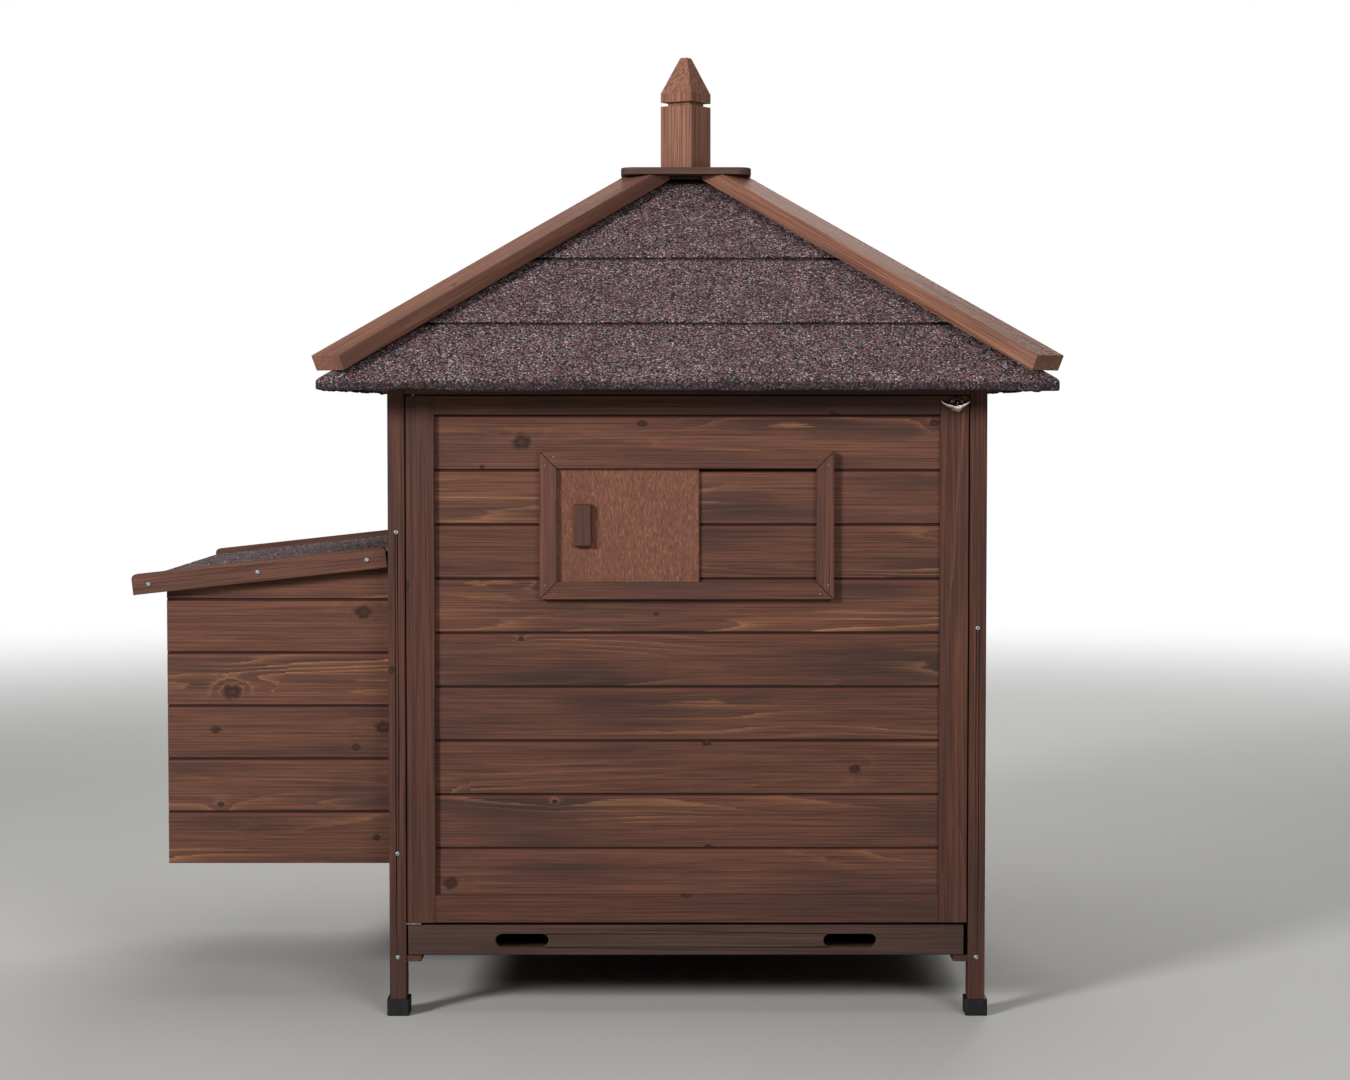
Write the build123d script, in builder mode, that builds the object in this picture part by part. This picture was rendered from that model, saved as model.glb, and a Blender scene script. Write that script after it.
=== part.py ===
from build123d import *
import os
from math import asin, atan, atan2, cos, radians, sin, sqrt, tan

# Timber chicken coop: a square house on four legs under a felted pyramid roof, with a framed
# front door, a pull-out droppings tray, a side nest box with a lifting lid, and a rear pop
# door with its ramp. Millimetres, +Z up, front towards -Y, nest box towards -X. The origin is
# on the ground under the middle of the bounding box.

# ---- driving dimensions ----
house_side = 980.0          # square plan over the outer faces of the legs
overhang = 104.0            # eave beyond the legs
eave_z = 1045.0             # top edge of the roofing felt at the eave
roof_pitch = 33.55          # degrees
leg_w = 28.0                # leg across the front
leg_d = 35.0                # leg front to back
board_pitch = 88.9          # cover height of one cladding board
board_t = 12.0
board_inset = 10.0          # cladding face behind the frame face
nest_reach = 377.0          # nest outer wall beyond the house
nest_inset = 84.0           # nest end walls behind the front and rear faces
lid_reach = 431.0           # tip of the nest lid beyond the house
lid_slope = 6.3             # degrees
lid_drop = 321.0            # upper tip of the lid below the eave

fit_gap = 0.3               # between pieces that only touch
running_gap = 0.05          # radial, for pins that turn in holes
seam_gap = 1.5              # open joint between cladding boards
mitre_gap = 0.2
end_gap = 2.0               # past the end of a pin or screw in its hole
leg_ease = 1.2              # eased edges of the legs
stile_ease = 1.0            # eased edges of the door stiles

half = house_side / 2
roof_half = half + overhang
slope = tan(radians(roof_pitch))
hip_slope = slope / sqrt(2)
apex_z = eave_z + slope * roof_half

# ---- cladding profile ----
tongue_from, tongue_to = 0.37, 0.67     # shares of the board's thickness
tongue_h = 5.0
bevel_in, bevel_h = 3.0, 4.5            # bevelled top edge of each board

# ---- roof build-up ----
felt_t = 4.0
felt_lip = 17.0             # height of the felt turned down at the eave
deck_t = 9.0
batten_w = 70.0
batten_t = 27.0
batten_short = 19.0         # batten end inside the felt's corner, along the diagonal
batten_end = roof_half * sqrt(2) - batten_short
rafter_w = 28.0
rafter_h = 45.0
king_side = 70.0
cap_side = 230.0
cap_t = 12.0
cap_corner = 25.0
cap_ease = 1.5
cap_drop = 27.0             # cap plate's underside below the felt's virtual apex
cap_z = apex_z - cap_drop
sheet_clear = 1.0           # felt and deck clear of the king post and the cap plate
batten_in = 75.0            # upper end of a batten from the roof's axis, along the diagonal
rafter_gap = 2.0            # rafter ends clear of the rails and legs
rafter_bite = 3.0           # king post's corner to the rafter's upper end
king_tail = 15.0            # king post below the rafters

felt_v = felt_t / cos(radians(roof_pitch))
deck_v = deck_t / cos(radians(roof_pitch))
under_apex = apex_z - felt_v - deck_v


def under_roof(distance):
    """Height of the deck's underside at a distance from the roof's axis."""
    return under_apex - slope * distance


# ---- finial: a square post with a routed neck and a pyramid tip, turned on the cap plate ----
finial_side = 66.0
finial_turn = -33.0         # degrees
finial_round = 2.0
neck_in = 10.0
neck_h = 7.0
post_h = 117.0
collar_h = 16.0
tip_h = 65.0
tip_side = 14.0
tip_in = 0.5                # tip's foot inside the collar's face
tip_round = 3.0
bolt_r = 5.0
bolt_up = 60.0              # bolt in the finial
bolt_tail = 6.0             # bolt below its nut
washer_r, washer_t = 15.0, 2.5
nut_apothem, nut_t = 8.5, 8.0

# ---- frame heights ----
leg_top = under_roof(half) - fit_gap
cap_floor = 4.0
cap_wall = 4.2
cap_height = 27.5
cap_round = 2.5
cap_foot_ease = 1.0
rail_h = 40.0
top_rail_drop = 23.0        # top rails' lower edge below the eave
top_rail_z = eave_z - top_rail_drop
upper_rail_drop = 225.0     # left side, over the nest opening, below the top rails' edge
upper_rail_z = top_rail_z - upper_rail_drop
upper_rail_skirt = 11.0     # the upper left rail reaches down behind the lid's hinges
lower_rail_z = 268.0        # left side, under the nest opening
middle_rail_drop = 157.0    # right side, below the upper left rail's level
middle_rail_z = upper_rail_z - middle_rail_drop
tray_rail_bottom = 89.0
tray_rail_top = 149.0
tray_screw_z = 96.3

# ---- front door ----
door_gap = 2.0
door_bottom = 153.8
door_top_gap = 2.0
door_t = board_inset + board_t      # the cladding is flush with the frame's inner face
cross_t = door_t            # front and rear top rails, which the latch cam turns behind
stile_w = 46.5
door_rail_low = 46.5
door_rail_high = 30.6
rebate = 12.0               # how far the cladding runs behind the door frame
door_top = top_rail_z - door_top_gap
pivot_r = 3.0
pivot_in = 12.0             # pivot axis from the stile's outer edge
pivot_back = 6.0            # pivot axis behind the door's face
pivot_depth = 25.0
pivot_rise = 12.0
bracket_t = 2.0
bracket_h = 32.0
bracket_reach = 10.0        # bracket beyond the pivot axis
bracket_gap = 1.2           # pivot pin's foot above the tray
bracket_rise = 0.4          # bracket above the pin's foot
bracket_behind = 1.0        # bracket's upright behind the door
stop_w = 10.0

# ---- window and sliding shutter ----
frame_w = 28.0
frame_t = 16.0
window_left = 241.5         # frame's outer left edge, left of the door's middle
window_w = 481.0
window_h = 242.0
window_drop = 90.5          # frame's outer top edge below the door's top
groove_deep = 8.0
groove_wide = 7.0
groove_end_gap = 1.0        # shutter's edge to the groove's bottom
shutter_back_gap = 0.4      # shutter in front of the cladding
shutter_show = 233.0        # visible width of the closed shutter
shutter_t = 6.0
vent_margin = 13.0
vent_w = 168.0
mesh_t = 1.0
mesh_pitch = 12.5
mesh_wire = 1.5
mesh_margin = 15.0
grip_w, grip_h, grip_t = 28.0, 69.0, 14.0
grip_in = 29.0
grip_round = 3.0

# ---- latch ----
latch_in = 20.0             # spindle from the stile's outer edge
latch_down = 13.0           # spindle below the door's top
spindle_r = 4.0
cam_len, cam_w, cam_t = 30.0, 12.0, 3.0
cam_gap = 0.5
cam_eye = 4.5               # cam's metal round the spindle
cam_bore_gap = 0.02
cam_nut_apothem, cam_nut_t = 6.5, 4.0
spindle_tail = 6.0          # spindle behind the cam
rose_w, rose_h, rose_t = 15.0, 24.0, 1.5
boss_r, boss_t = 7.0, 7.5
wing_up, wing_t = 3.0, 4.5  # wings above the boss's foot, and their thickness

# ---- tray ----
tray_gap = 4.5              # beside the tray
tray_shift = -2.0
tray_in = 1.0               # tray's face behind the house's
tray_round = 1.5
tray_bottom = 100.0
tray_h = 49.4
tray_front_t = 18.0
tray_side_t = 12.0
tray_side_h = 40.0
tray_floor_t = 4.0
tray_floor_z = 103.0
tray_back_gap = 12.0
slot_len, slot_h = 87.0, 22.0
slot_spread = 540.0
slot_rise = 24.0
runner_w = 24.0
runner_h = 10.0
runner_in = 3.0             # runners' front end behind the house's face

# ---- nest box ----
nest_bottom = 239.0
nest_over = 10.0            # walls and posts are cut to the lid's slope from this much above it
nest_floor_t = 12.0
nest_post = 20.0
divider_h = 210.0
divider_t = 9.0
divider_gap = 12.0          # between a divider and the house wall
lip_h = 50.0
fascia_t = 18.0
fascia_h = 34.0
fascia_out = 11.0           # clear of the nest end walls
fascia_up = 5.5             # fascia top above the hinge axis, across the lid
lid_felt_t = 3.0
lid_panel_t = 12.0
lid_start = 6.0             # lid from its hinge axis
lid_clear = 1.0
felt_fold = 3.0             # lid felt turned down below the panel
fascia_round = 8.0          # lower corner at the lid's tip
fascia_chamfer = 4.0        # upper corner by the house
lid_screw_in = 31.7         # first screw from the lid's upper end
lid_screw_out = 27.5        # last screw from its lower end

# ---- hinges ----
barrel_r = 4.0
hinge_pin_r = 2.0
leaf_t = 1.5
leaf_w = 28.0
knuckle = 20.0
knuckle_gap = 0.4
lid_hinge_in = 140.0        # hinges from the ends of the lid
ramp_hinge_in = 45.0        # hinges from the edges of the ramp

# ---- perches ----
perch_w = 45.0
perch_t = 35.0
perch_rise = 3.0            # perch seats above the middle of the upper side rail
perch_z = upper_rail_z + perch_rise
perch_round = 5.0
perch_spread = 360.0
cleat_t = 20.0
cleat_w = 85.0
cleat_h = 60.0
cleat_under = 20.0          # support below the perch's seat

# ---- pop door and ramp ----
pop_w = 260.0
pop_h = 300.0
pop_sill = 215.0
pop_lap = 14.0
pop_t = 9.0
guide_w = 28.0
guide_t = 20.0
guide_groove = 10.0
guide_slack = 1.0           # pop door's edge to the groove's bottom
pop_grip_w, pop_grip_h, pop_grip_t = 80.0, 24.0, 14.0
pop_grip_up = 30.0
pop_grip_round = 4.0
sill_h = 30.0
sill_d = 35.0
ramp_len = 620.0
ramp_w = 240.0
ramp_t = 15.0
ramp_start = 8.0            # board from its hinge axis
cleat_ramp_t = 10.0
cleat_ramp_w = 18.0
cleat_short = 20.0          # cleats narrower than the ramp
cleat_past_leaf = 35.0      # first cleat from the hinge leaf
cleat_from_end = 45.0       # last cleat from the ramp's foot
ramp_cleats_count = 6

# ---- screws ----
screw_r = 2.0
screw_head_r = 4.0
screw_head_h = 2.2
screw_dome = 1.54           # radius of the head's rounded edge
screw_into = 30.0

# ---- where the house stands in the frame ----
hinge_rise = barrel_r
ramp_axis_out = sill_d - board_inset + barrel_r
ramp_axis_z = pop_sill - barrel_r
ramp_below = barrel_r + ramp_t
ramp_fall = asin(ramp_axis_z / sqrt(ramp_len**2 + ramp_below**2)) - atan2(ramp_below, ramp_len)
reach_left = half + lid_reach
reach_corner = (batten_end + batten_w / 2) / sqrt(2)
reach_rear = half + ramp_axis_out + ramp_len * cos(ramp_fall) - barrel_r * sin(ramp_fall)
axis_x = (reach_left - reach_corner) / 2
axis_y = (reach_corner - reach_rear) / 2
left, right = axis_x - half, axis_x + half
front, rear = axis_y - half, axis_y + half
inner_left, inner_right = left + leg_w, right - leg_w
inner_front, inner_rear = front + leg_d, rear - leg_d

os.makedirs("parts", exist_ok=True)


def finish(piece, name):
    """Label a finished piece and write it."""
    piece.part.label = name
    export_step(piece.part, f"parts/{name}.step")


def block(x0, x1, y0, y1, z0, z1, mode=Mode.ADD):
    """A squared timber or cut between two corners."""
    with Locations(((x0 + x1) / 2, (y0 + y1) / 2, (z0 + z1) / 2)):
        Box(x1 - x0, y1 - y0, z1 - z0, mode=mode)


def rod(plane, radius, length, mode=Mode.ADD):
    """A round bar or hole that starts on a plane and runs along its normal."""
    with Locations(plane.offset(length / 2)):
        Cylinder(radius, length, mode=mode)


def outline(plane, points, amount, both=False, mode=Mode.ADD):
    """A straight-sided outline on a plane, extruded."""
    with BuildSketch(plane) as section:
        with BuildLine():
            Polyline(*points, close=True)
        make_face()
    extrude(section.sketch, amount=amount, both=both, mode=mode)


# ---- cladding ----
def courses(low, high, seam):
    """Lower and upper edge of each board between two heights, with joints counted from a seam."""
    shortest = board_pitch / 3
    first = seam + board_pitch * round((low - seam) / board_pitch)
    edges = [low]
    joint = first - board_pitch
    while joint < high - shortest:
        if joint > low + shortest:
            edges.append(joint)
        joint += board_pitch
    edges.append(high)
    return list(zip(edges, edges[1:]))


def clad(plane, length, low, high, seam):
    """Tongued and grooved boards. The plane's X points inwards and its normal along the boards."""
    tongue_0, tongue_1 = board_t * tongue_from, board_t * tongue_to
    boards = courses(low, high, seam)
    for number, (bottom, top) in enumerate(boards):
        points = [(0, bottom)]
        if number > 0:
            groove_top = bottom + tongue_h + fit_gap
            points += [(tongue_0 - fit_gap, bottom), (tongue_0 - fit_gap, groove_top)]
            points += [(tongue_1 + fit_gap, groove_top), (tongue_1 + fit_gap, bottom)]
        points.append((board_t, bottom))
        if number < len(boards) - 1:
            edge = top - seam_gap
            points += [(board_t, edge), (tongue_1, edge), (tongue_1, edge + tongue_h)]
            points += [(tongue_0, edge + tongue_h), (tongue_0, edge), (bevel_in, edge)]
            points.append((0, edge - bevel_h))
        else:
            points += [(board_t, top), (0, top)]
        outline(plane, points, length)


right_section = Plane(origin=(right - board_inset, inner_front, 0), x_dir=(-1, 0, 0), z_dir=(0, 1, 0))
rear_section = Plane(origin=(inner_right, rear - board_inset, 0), x_dir=(0, -1, 0), z_dir=(-1, 0, 0))
left_section = Plane(origin=(left + board_inset, inner_rear, 0), x_dir=(1, 0, 0), z_dir=(0, -1, 0))

# ---- legs and foot caps ----
leg_middles = {
    "leg_front_left": (left + leg_w / 2, front + leg_d / 2),
    "leg_front_right": (right - leg_w / 2, front + leg_d / 2),
    "leg_rear_left": (left + leg_w / 2, rear - leg_d / 2),
    "leg_rear_right": (right - leg_w / 2, rear - leg_d / 2),
}
left_screws = (upper_rail_z, lower_rail_z, tray_screw_z)
right_screws = (middle_rail_z, tray_screw_z)


def screw_planes(x, heights):
    """Planes on the front and rear faces of the legs, with their normals going into the wood."""
    for z in heights:
        yield Plane(origin=(x, front, z), x_dir=(1, 0, 0), z_dir=(0, 1, 0))
        yield Plane(origin=(x, rear, z), x_dir=(1, 0, 0), z_dir=(0, -1, 0))


leg_screw_planes = [*screw_planes(left + leg_w / 2, left_screws)]
leg_screw_planes += [*screw_planes(right - leg_w / 2, right_screws)]

for name, (x, y) in leg_middles.items():
    with BuildPart() as leg:
        block(x - leg_w / 2, x + leg_w / 2, y - leg_d / 2, y + leg_d / 2, cap_floor, leg_top)
        chamfer(leg.edges().filter_by(Axis.Z), leg_ease)
        for plane in leg_screw_planes:
            rod(plane, screw_r + running_gap, leg_d, mode=Mode.SUBTRACT)
    finish(leg, name)

with BuildPart() as foot_cap:
    with BuildSketch():
        RectangleRounded(leg_w + 2 * cap_wall, leg_d + 2 * cap_wall, cap_round)
    extrude(amount=cap_height)
    chamfer(foot_cap.faces().sort_by(Axis.Z)[0].edges(), cap_foot_ease)
    with BuildSketch(Plane.XY.offset(cap_floor)):
        Rectangle(leg_w + 2 * fit_gap, leg_d + 2 * fit_gap)
    extrude(amount=cap_height - cap_floor, mode=Mode.SUBTRACT)

with BuildPart() as foot_caps:
    with Locations(*leg_middles.values()):
        add(foot_cap.part)
finish(foot_caps, "foot_caps")

# ---- rails ----
with BuildPart() as cross_rails:
    block(inner_left, inner_right, front, front + cross_t, top_rail_z, leg_top)
    block(inner_left, inner_right, rear - cross_t, rear, top_rail_z, leg_top)
    block(inner_left, inner_right, rear - cross_t, rear, tray_bottom, tray_rail_top)
    pivot_x = inner_left + door_gap + pivot_in
    pivot_y = front + pivot_back
    pivot_hole = Plane((pivot_x, pivot_y, top_rail_z))
    rod(pivot_hole, pivot_r + running_gap, pivot_rise + end_gap, mode=Mode.SUBTRACT)
finish(cross_rails, "cross_rails")

jamb_top = upper_rail_z - rail_h / 2 - upper_rail_skirt
jamb_bottom = lower_rail_z + rail_h / 2
with BuildPart() as side_rails:
    for x in (left, inner_right):
        block(x, x + leg_w, inner_front, inner_rear, top_rail_z, leg_top)
        block(x, x + leg_w, inner_front, inner_rear, tray_rail_bottom, tray_rail_top)
    block(left, inner_left, inner_front, inner_rear, jamb_top, upper_rail_z + rail_h / 2)
    block(left, inner_left, inner_front, inner_rear, lower_rail_z - rail_h / 2, jamb_bottom)
    z = middle_rail_z
    block(inner_right, right, inner_front, inner_rear, z - rail_h / 2, z + rail_h / 2)
    for plane in leg_screw_planes:
        rod(plane, screw_r + running_gap, leg_d + screw_into + end_gap, mode=Mode.SUBTRACT)
finish(side_rails, "side_rails")

with BuildPart() as tray_runners:
    for x in (inner_left, inner_right - runner_w):
        y0, z1 = front + runner_in, tray_rail_bottom + runner_h
        block(x, x + runner_w, y0, inner_rear, tray_rail_bottom, z1)
finish(tray_runners, "tray_runners")

# ---- house walls ----
wall_length = inner_rear - inner_front
with BuildPart() as left_wall_boards:
    clad(left_section, wall_length, tray_rail_top, lower_rail_z - rail_h / 2, tray_rail_top)
    clad(left_section, wall_length, upper_rail_z + rail_h / 2, top_rail_z, top_rail_z)
finish(left_wall_boards, "left_wall_boards")

with BuildPart() as right_wall_boards:
    clad(right_section, wall_length, tray_rail_top, middle_rail_z - rail_h / 2, tray_rail_top)
    clad(right_section, wall_length, middle_rail_z + rail_h / 2, top_rail_z, top_rail_z)
finish(right_wall_boards, "right_wall_boards")

pop_left, pop_right = axis_x - pop_w / 2, axis_x + pop_w / 2
pop_top = pop_sill + pop_h
with BuildPart() as rear_wall_boards:
    clad(rear_section, inner_right - inner_left, tray_rail_top, top_rail_z, top_rail_z)
    block(pop_left, pop_right, rear - 2 * board_t, rear, pop_sill, pop_top, mode=Mode.SUBTRACT)
finish(rear_wall_boards, "rear_wall_boards")

# ---- nest lid frame: X runs down the lid from the hinge axis, Z is the lid's upward normal ----
lid_angle = radians(lid_slope)
lid_axis_x = left - barrel_r
fascia_tip_z = eave_z - lid_drop
lid_end = (lid_reach - barrel_r - fascia_up * sin(lid_angle)) / cos(lid_angle)
lid_axis_z = fascia_tip_z + lid_end * sin(lid_angle) - fascia_up * cos(lid_angle)
lid_felt_top = -hinge_rise
lid_panel_top = lid_felt_top - lid_felt_t
lid_under = lid_panel_top - lid_panel_t
lid_half = half - nest_inset + fascia_out + fascia_t
lid_frame = Plane(
    origin=(lid_axis_x, axis_y, lid_axis_z),
    x_dir=(-cos(lid_angle), 0, -sin(lid_angle)),
    z_dir=(-sin(lid_angle), 0, cos(lid_angle)),
)

# ---- nest box ----
nest_left = left - nest_reach
nest_front, nest_rear = front + nest_inset, rear - nest_inset
nest_floor_z = lower_rail_z + rail_h / 2 - nest_floor_t
nest_wall_top = lid_axis_z + nest_over
lid_shadow = lid_frame.offset(lid_under - lid_clear)

with BuildPart() as nest_end_walls:
    near = Plane(origin=(nest_left, nest_front, 0), x_dir=(0, 1, 0), z_dir=(1, 0, 0))
    far = Plane(origin=(left, nest_rear, 0), x_dir=(0, -1, 0), z_dir=(-1, 0, 0))
    clad(near, nest_reach, nest_bottom, nest_wall_top, nest_bottom)
    clad(far, nest_reach, nest_bottom, nest_wall_top, nest_bottom)
    split(bisect_by=lid_shadow, keep=Keep.BOTTOM)
finish(nest_end_walls, "nest_end_walls")

with BuildPart() as nest_outer_wall:
    section = Plane(origin=(nest_left, nest_rear - board_t, 0), x_dir=(1, 0, 0), z_dir=(0, -1, 0))
    inner_span = nest_rear - nest_front - 2 * board_t
    clad(section, inner_span, nest_bottom, nest_wall_top, nest_bottom)
    split(bisect_by=lid_shadow, keep=Keep.BOTTOM)
finish(nest_outer_wall, "nest_outer_wall")

post_x = nest_left + board_t
post_ys = (nest_front + board_t, nest_rear - board_t - nest_post)
with BuildPart() as nest_posts:
    for y in post_ys:
        block(post_x, post_x + nest_post, y, y + nest_post, nest_bottom, nest_wall_top)
    split(bisect_by=lid_shadow, keep=Keep.BOTTOM)
    block(left, inner_left, inner_front, nest_front + board_t, jamb_bottom, jamb_top)
    block(left, inner_left, nest_rear - board_t, inner_rear, jamb_bottom, jamb_top)
finish(nest_posts, "nest_posts")

with BuildPart() as nest_floor:
    y0, y1 = nest_front + board_t, nest_rear - board_t
    block(post_x, left, y0, y1, nest_floor_z, nest_floor_z + nest_floor_t)
    for y in post_ys:
        block(post_x, post_x + nest_post, y, y + nest_post, 0, leg_top, mode=Mode.SUBTRACT)
finish(nest_floor, "nest_floor")

nest_bay = (nest_rear - nest_front - 2 * board_t) / 3
with BuildPart() as nest_partitions:
    base = nest_floor_z + nest_floor_t
    for bay in (1, 2):
        y = nest_front + board_t + bay * nest_bay
        block(post_x, left - divider_gap, y - divider_t / 2, y + divider_t / 2, base, base + divider_h)
    y0, y1 = nest_front + board_t, nest_rear - board_t
    block(inner_left - board_t, inner_left, y0, y1, base, base + lip_h)
finish(nest_partitions, "nest_partitions")

# ---- nest lid ----
lid_len = lid_end - lid_start
lid_mid = lid_start + lid_len / 2
panel_w = 2 * (lid_half - fascia_t)
with BuildPart() as lid_panel:
    with BuildSketch(lid_frame.offset(lid_under)):
        with Locations((lid_mid - lid_felt_t / 2, 0)):
            Rectangle(lid_len - lid_felt_t - fit_gap, panel_w)
    extrude(amount=lid_panel_t)
finish(lid_panel, "lid_panel")

with BuildPart() as lid_felt:
    with BuildSketch(lid_frame.offset(lid_panel_top)):
        with Locations((lid_mid, 0)):
            Rectangle(lid_len, panel_w)
    extrude(amount=lid_felt_t)
    with BuildSketch(lid_frame.offset(lid_under - felt_fold)):
        with Locations((lid_end - lid_felt_t / 2, 0)):
            Rectangle(lid_felt_t, panel_w)
    extrude(amount=lid_panel_t + felt_fold)
finish(lid_felt, "lid_felt")

fascia_low = fascia_up - fascia_h
first, last = lid_start + lid_screw_in, lid_end - lid_screw_out
lid_screw_places = (first, (first + last) / 2, last)
lid_screw_level = (lid_under + lid_panel_top) / 2
lid_screw_planes = []
for side in (-1, 1):
    for place in lid_screw_places:
        spot = lid_frame.from_local_coords(Vector(place, -side * lid_half, lid_screw_level))
        lid_screw_planes.append(Plane(origin=spot, x_dir=(1, 0, 0), z_dir=(0, -side, 0)))

with BuildPart() as lid_fascias:
    for side in (-1, 1):
        with BuildSketch(lid_frame.offset(fascia_low)):
            with Locations((lid_mid, side * (lid_half - fascia_t / 2))):
                Rectangle(lid_len, fascia_t)
        extrude(amount=fascia_h)
    low_ends = lid_fascias.edges().filter_by(Axis.Y).group_by(Axis.X)[0]
    fillet(low_ends, fascia_round)
    top_ends = lid_fascias.edges().filter_by(Axis.Y).sort_by(Axis.Z)[-2:]
    chamfer(top_ends, fascia_chamfer)
    for plane in lid_screw_planes:
        rod(plane, screw_r + running_gap, fascia_t, mode=Mode.SUBTRACT)
finish(lid_fascias, "lid_fascias")

# ---- roof ----
roof_spots = [Location((axis_x, axis_y, 0), (0, 0, turn)) for turn in (0, 90, 180, 270)]
hip_spots = [Location((axis_x, axis_y, 0), (0, 0, turn)) for turn in (45, 135, 225, 315)]
sheet_in = max(king_side / 2, cap_drop / slope) + sheet_clear


def top_roof(distance):
    """Height of the felt's surface at a distance from the roof's axis."""
    return apex_z - slope * distance


def quarter(points):
    """One roof sheet from its section, mitred along the hips."""
    with BuildPart(mode=Mode.PRIVATE) as sheet:
        outline(Plane.YZ, points, roof_half, both=True)
        for side in (-1, 1):
            split(bisect_by=Plane(origin=(0, -mitre_gap, 0), z_dir=(side, -1, 0)), keep=Keep.TOP)
    return sheet.part


felt_in = roof_half - felt_t
with BuildPart() as roof_felt:
    points = [
        (-sheet_in, top_roof(sheet_in)),
        (-roof_half, eave_z),
        (-roof_half, eave_z - felt_lip),
        (-felt_in, eave_z - felt_lip),
        (-felt_in, top_roof(felt_in) - felt_v),
        (-sheet_in, top_roof(sheet_in) - felt_v),
    ]
    sheet = quarter(points)
    with Locations(*roof_spots):
        add(sheet)
finish(roof_felt, "roof_felt")

deck_in = felt_in - fit_gap
with BuildPart() as roof_deck:
    points = [
        (-sheet_in, top_roof(sheet_in) - felt_v),
        (-deck_in, top_roof(deck_in) - felt_v),
        (-deck_in, under_roof(deck_in)),
        (-sheet_in, under_roof(sheet_in)),
    ]
    sheet = quarter(points)
    with Locations(*roof_spots):
        add(sheet)
finish(roof_deck, "roof_deck")

hip_angle = atan(hip_slope)
batten_v = batten_t / cos(hip_angle)
cap_under = cap_z - fit_gap
batten_under = apex_z + fit_gap


def hip_line(height, distance):
    """Height along a hip, under a virtual apex, at a distance measured along the diagonal."""
    return height - hip_slope * distance


with BuildPart() as hip_batten:
    heel = batten_end - batten_t * sin(hip_angle)
    points = [
        (batten_in, hip_line(batten_under, batten_in)),
        (heel, hip_line(batten_under, heel)),
        (batten_end, hip_line(batten_under + batten_v, batten_end)),
        ((batten_under + batten_v - cap_under) / hip_slope, cap_under),
        (batten_in, cap_under),
    ]
    outline(Plane.XZ, points, batten_w / 2, both=True)

with BuildPart() as hip_battens:
    with Locations(*hip_spots):
        add(hip_batten.part)
finish(hip_battens, "hip_battens")

rafter_top = under_apex - hip_slope * rafter_w / 2 - fit_gap
rafter_v = rafter_h / cos(hip_angle)
to_rails = sqrt(2) * (half - max(leg_w, cross_t)) - rafter_w / 2
to_legs = sqrt(2) * half - (leg_w + leg_d) / sqrt(2)
rafter_out = min(to_rails, to_legs) - rafter_gap
rafter_in = king_side / sqrt(2) + rafter_bite
with BuildPart() as hip_rafter:
    points = [
        (rafter_in, hip_line(rafter_top, rafter_in)),
        (rafter_out, hip_line(rafter_top, rafter_out)),
        (rafter_out, hip_line(rafter_top - rafter_v, rafter_out)),
        (rafter_in, hip_line(rafter_top - rafter_v, rafter_in)),
    ]
    outline(Plane.XZ, points, rafter_w / 2, both=True)

king_bottom = hip_line(rafter_top - rafter_v, rafter_in) - king_tail
with BuildPart() as roof_rafters:
    with Locations(*hip_spots):
        add(hip_rafter.part)
    king_half = king_side / 2
    x0, x1 = axis_x - king_half, axis_x + king_half
    block(x0, x1, axis_y - king_half, axis_y + king_half, king_bottom, cap_z)
    rod(Plane((axis_x, axis_y, king_bottom)), bolt_r + fit_gap, cap_z - king_bottom, mode=Mode.SUBTRACT)
finish(roof_rafters, "roof_rafters")

with BuildPart() as roof_cap_plate:
    with BuildSketch(Plane((axis_x, axis_y, cap_z))):
        RectangleRounded(cap_side, cap_side, cap_corner)
    extrude(amount=cap_t)
    chamfer(roof_cap_plate.faces().sort_by(Axis.Z)[-1].edges(), cap_ease)
    rod(Plane((axis_x, axis_y, cap_z)), bolt_r + fit_gap, cap_t, mode=Mode.SUBTRACT)
finish(roof_cap_plate, "roof_cap_plate")

# ---- finial ----
finial_base = cap_z + cap_t
with BuildPart() as finial:
    foot = Plane(Location((axis_x, axis_y, finial_base), (0, 0, finial_turn)))
    with BuildSketch(foot):
        RectangleRounded(finial_side, finial_side, finial_round)
    extrude(amount=post_h)
    with BuildSketch(foot.offset(post_h)):
        Rectangle(finial_side - 2 * neck_in, finial_side - 2 * neck_in)
    extrude(amount=neck_h)
    with BuildSketch(foot.offset(post_h + neck_h)):
        RectangleRounded(finial_side, finial_side, finial_round)
    extrude(amount=collar_h)
    with BuildSketch(foot.offset(post_h + neck_h + collar_h)):
        Rectangle(finial_side - 2 * tip_in, finial_side - 2 * tip_in)
    with BuildSketch(foot.offset(post_h + neck_h + collar_h + tip_h)):
        Rectangle(tip_side, tip_side)
    loft()
    fillet(finial.faces().sort_by(Axis.Z)[-1].edges(), tip_round)
    rod(foot, bolt_r + fit_gap, bolt_up + end_gap, mode=Mode.SUBTRACT)
finish(finial, "finial")

with BuildPart() as finial_bolt:
    rod(Plane((axis_x, axis_y, king_bottom - washer_t)), washer_r, washer_t)
    with BuildSketch(Plane((axis_x, axis_y, king_bottom - washer_t - nut_t))):
        RegularPolygon(nut_apothem, 6, major_radius=False)
    extrude(amount=nut_t)
    bolt_bottom = king_bottom - washer_t - nut_t - bolt_tail
    rod(Plane((axis_x, axis_y, bolt_bottom)), bolt_r, finial_base + bolt_up - bolt_bottom)
finish(finial_bolt, "finial_bolt")

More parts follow.
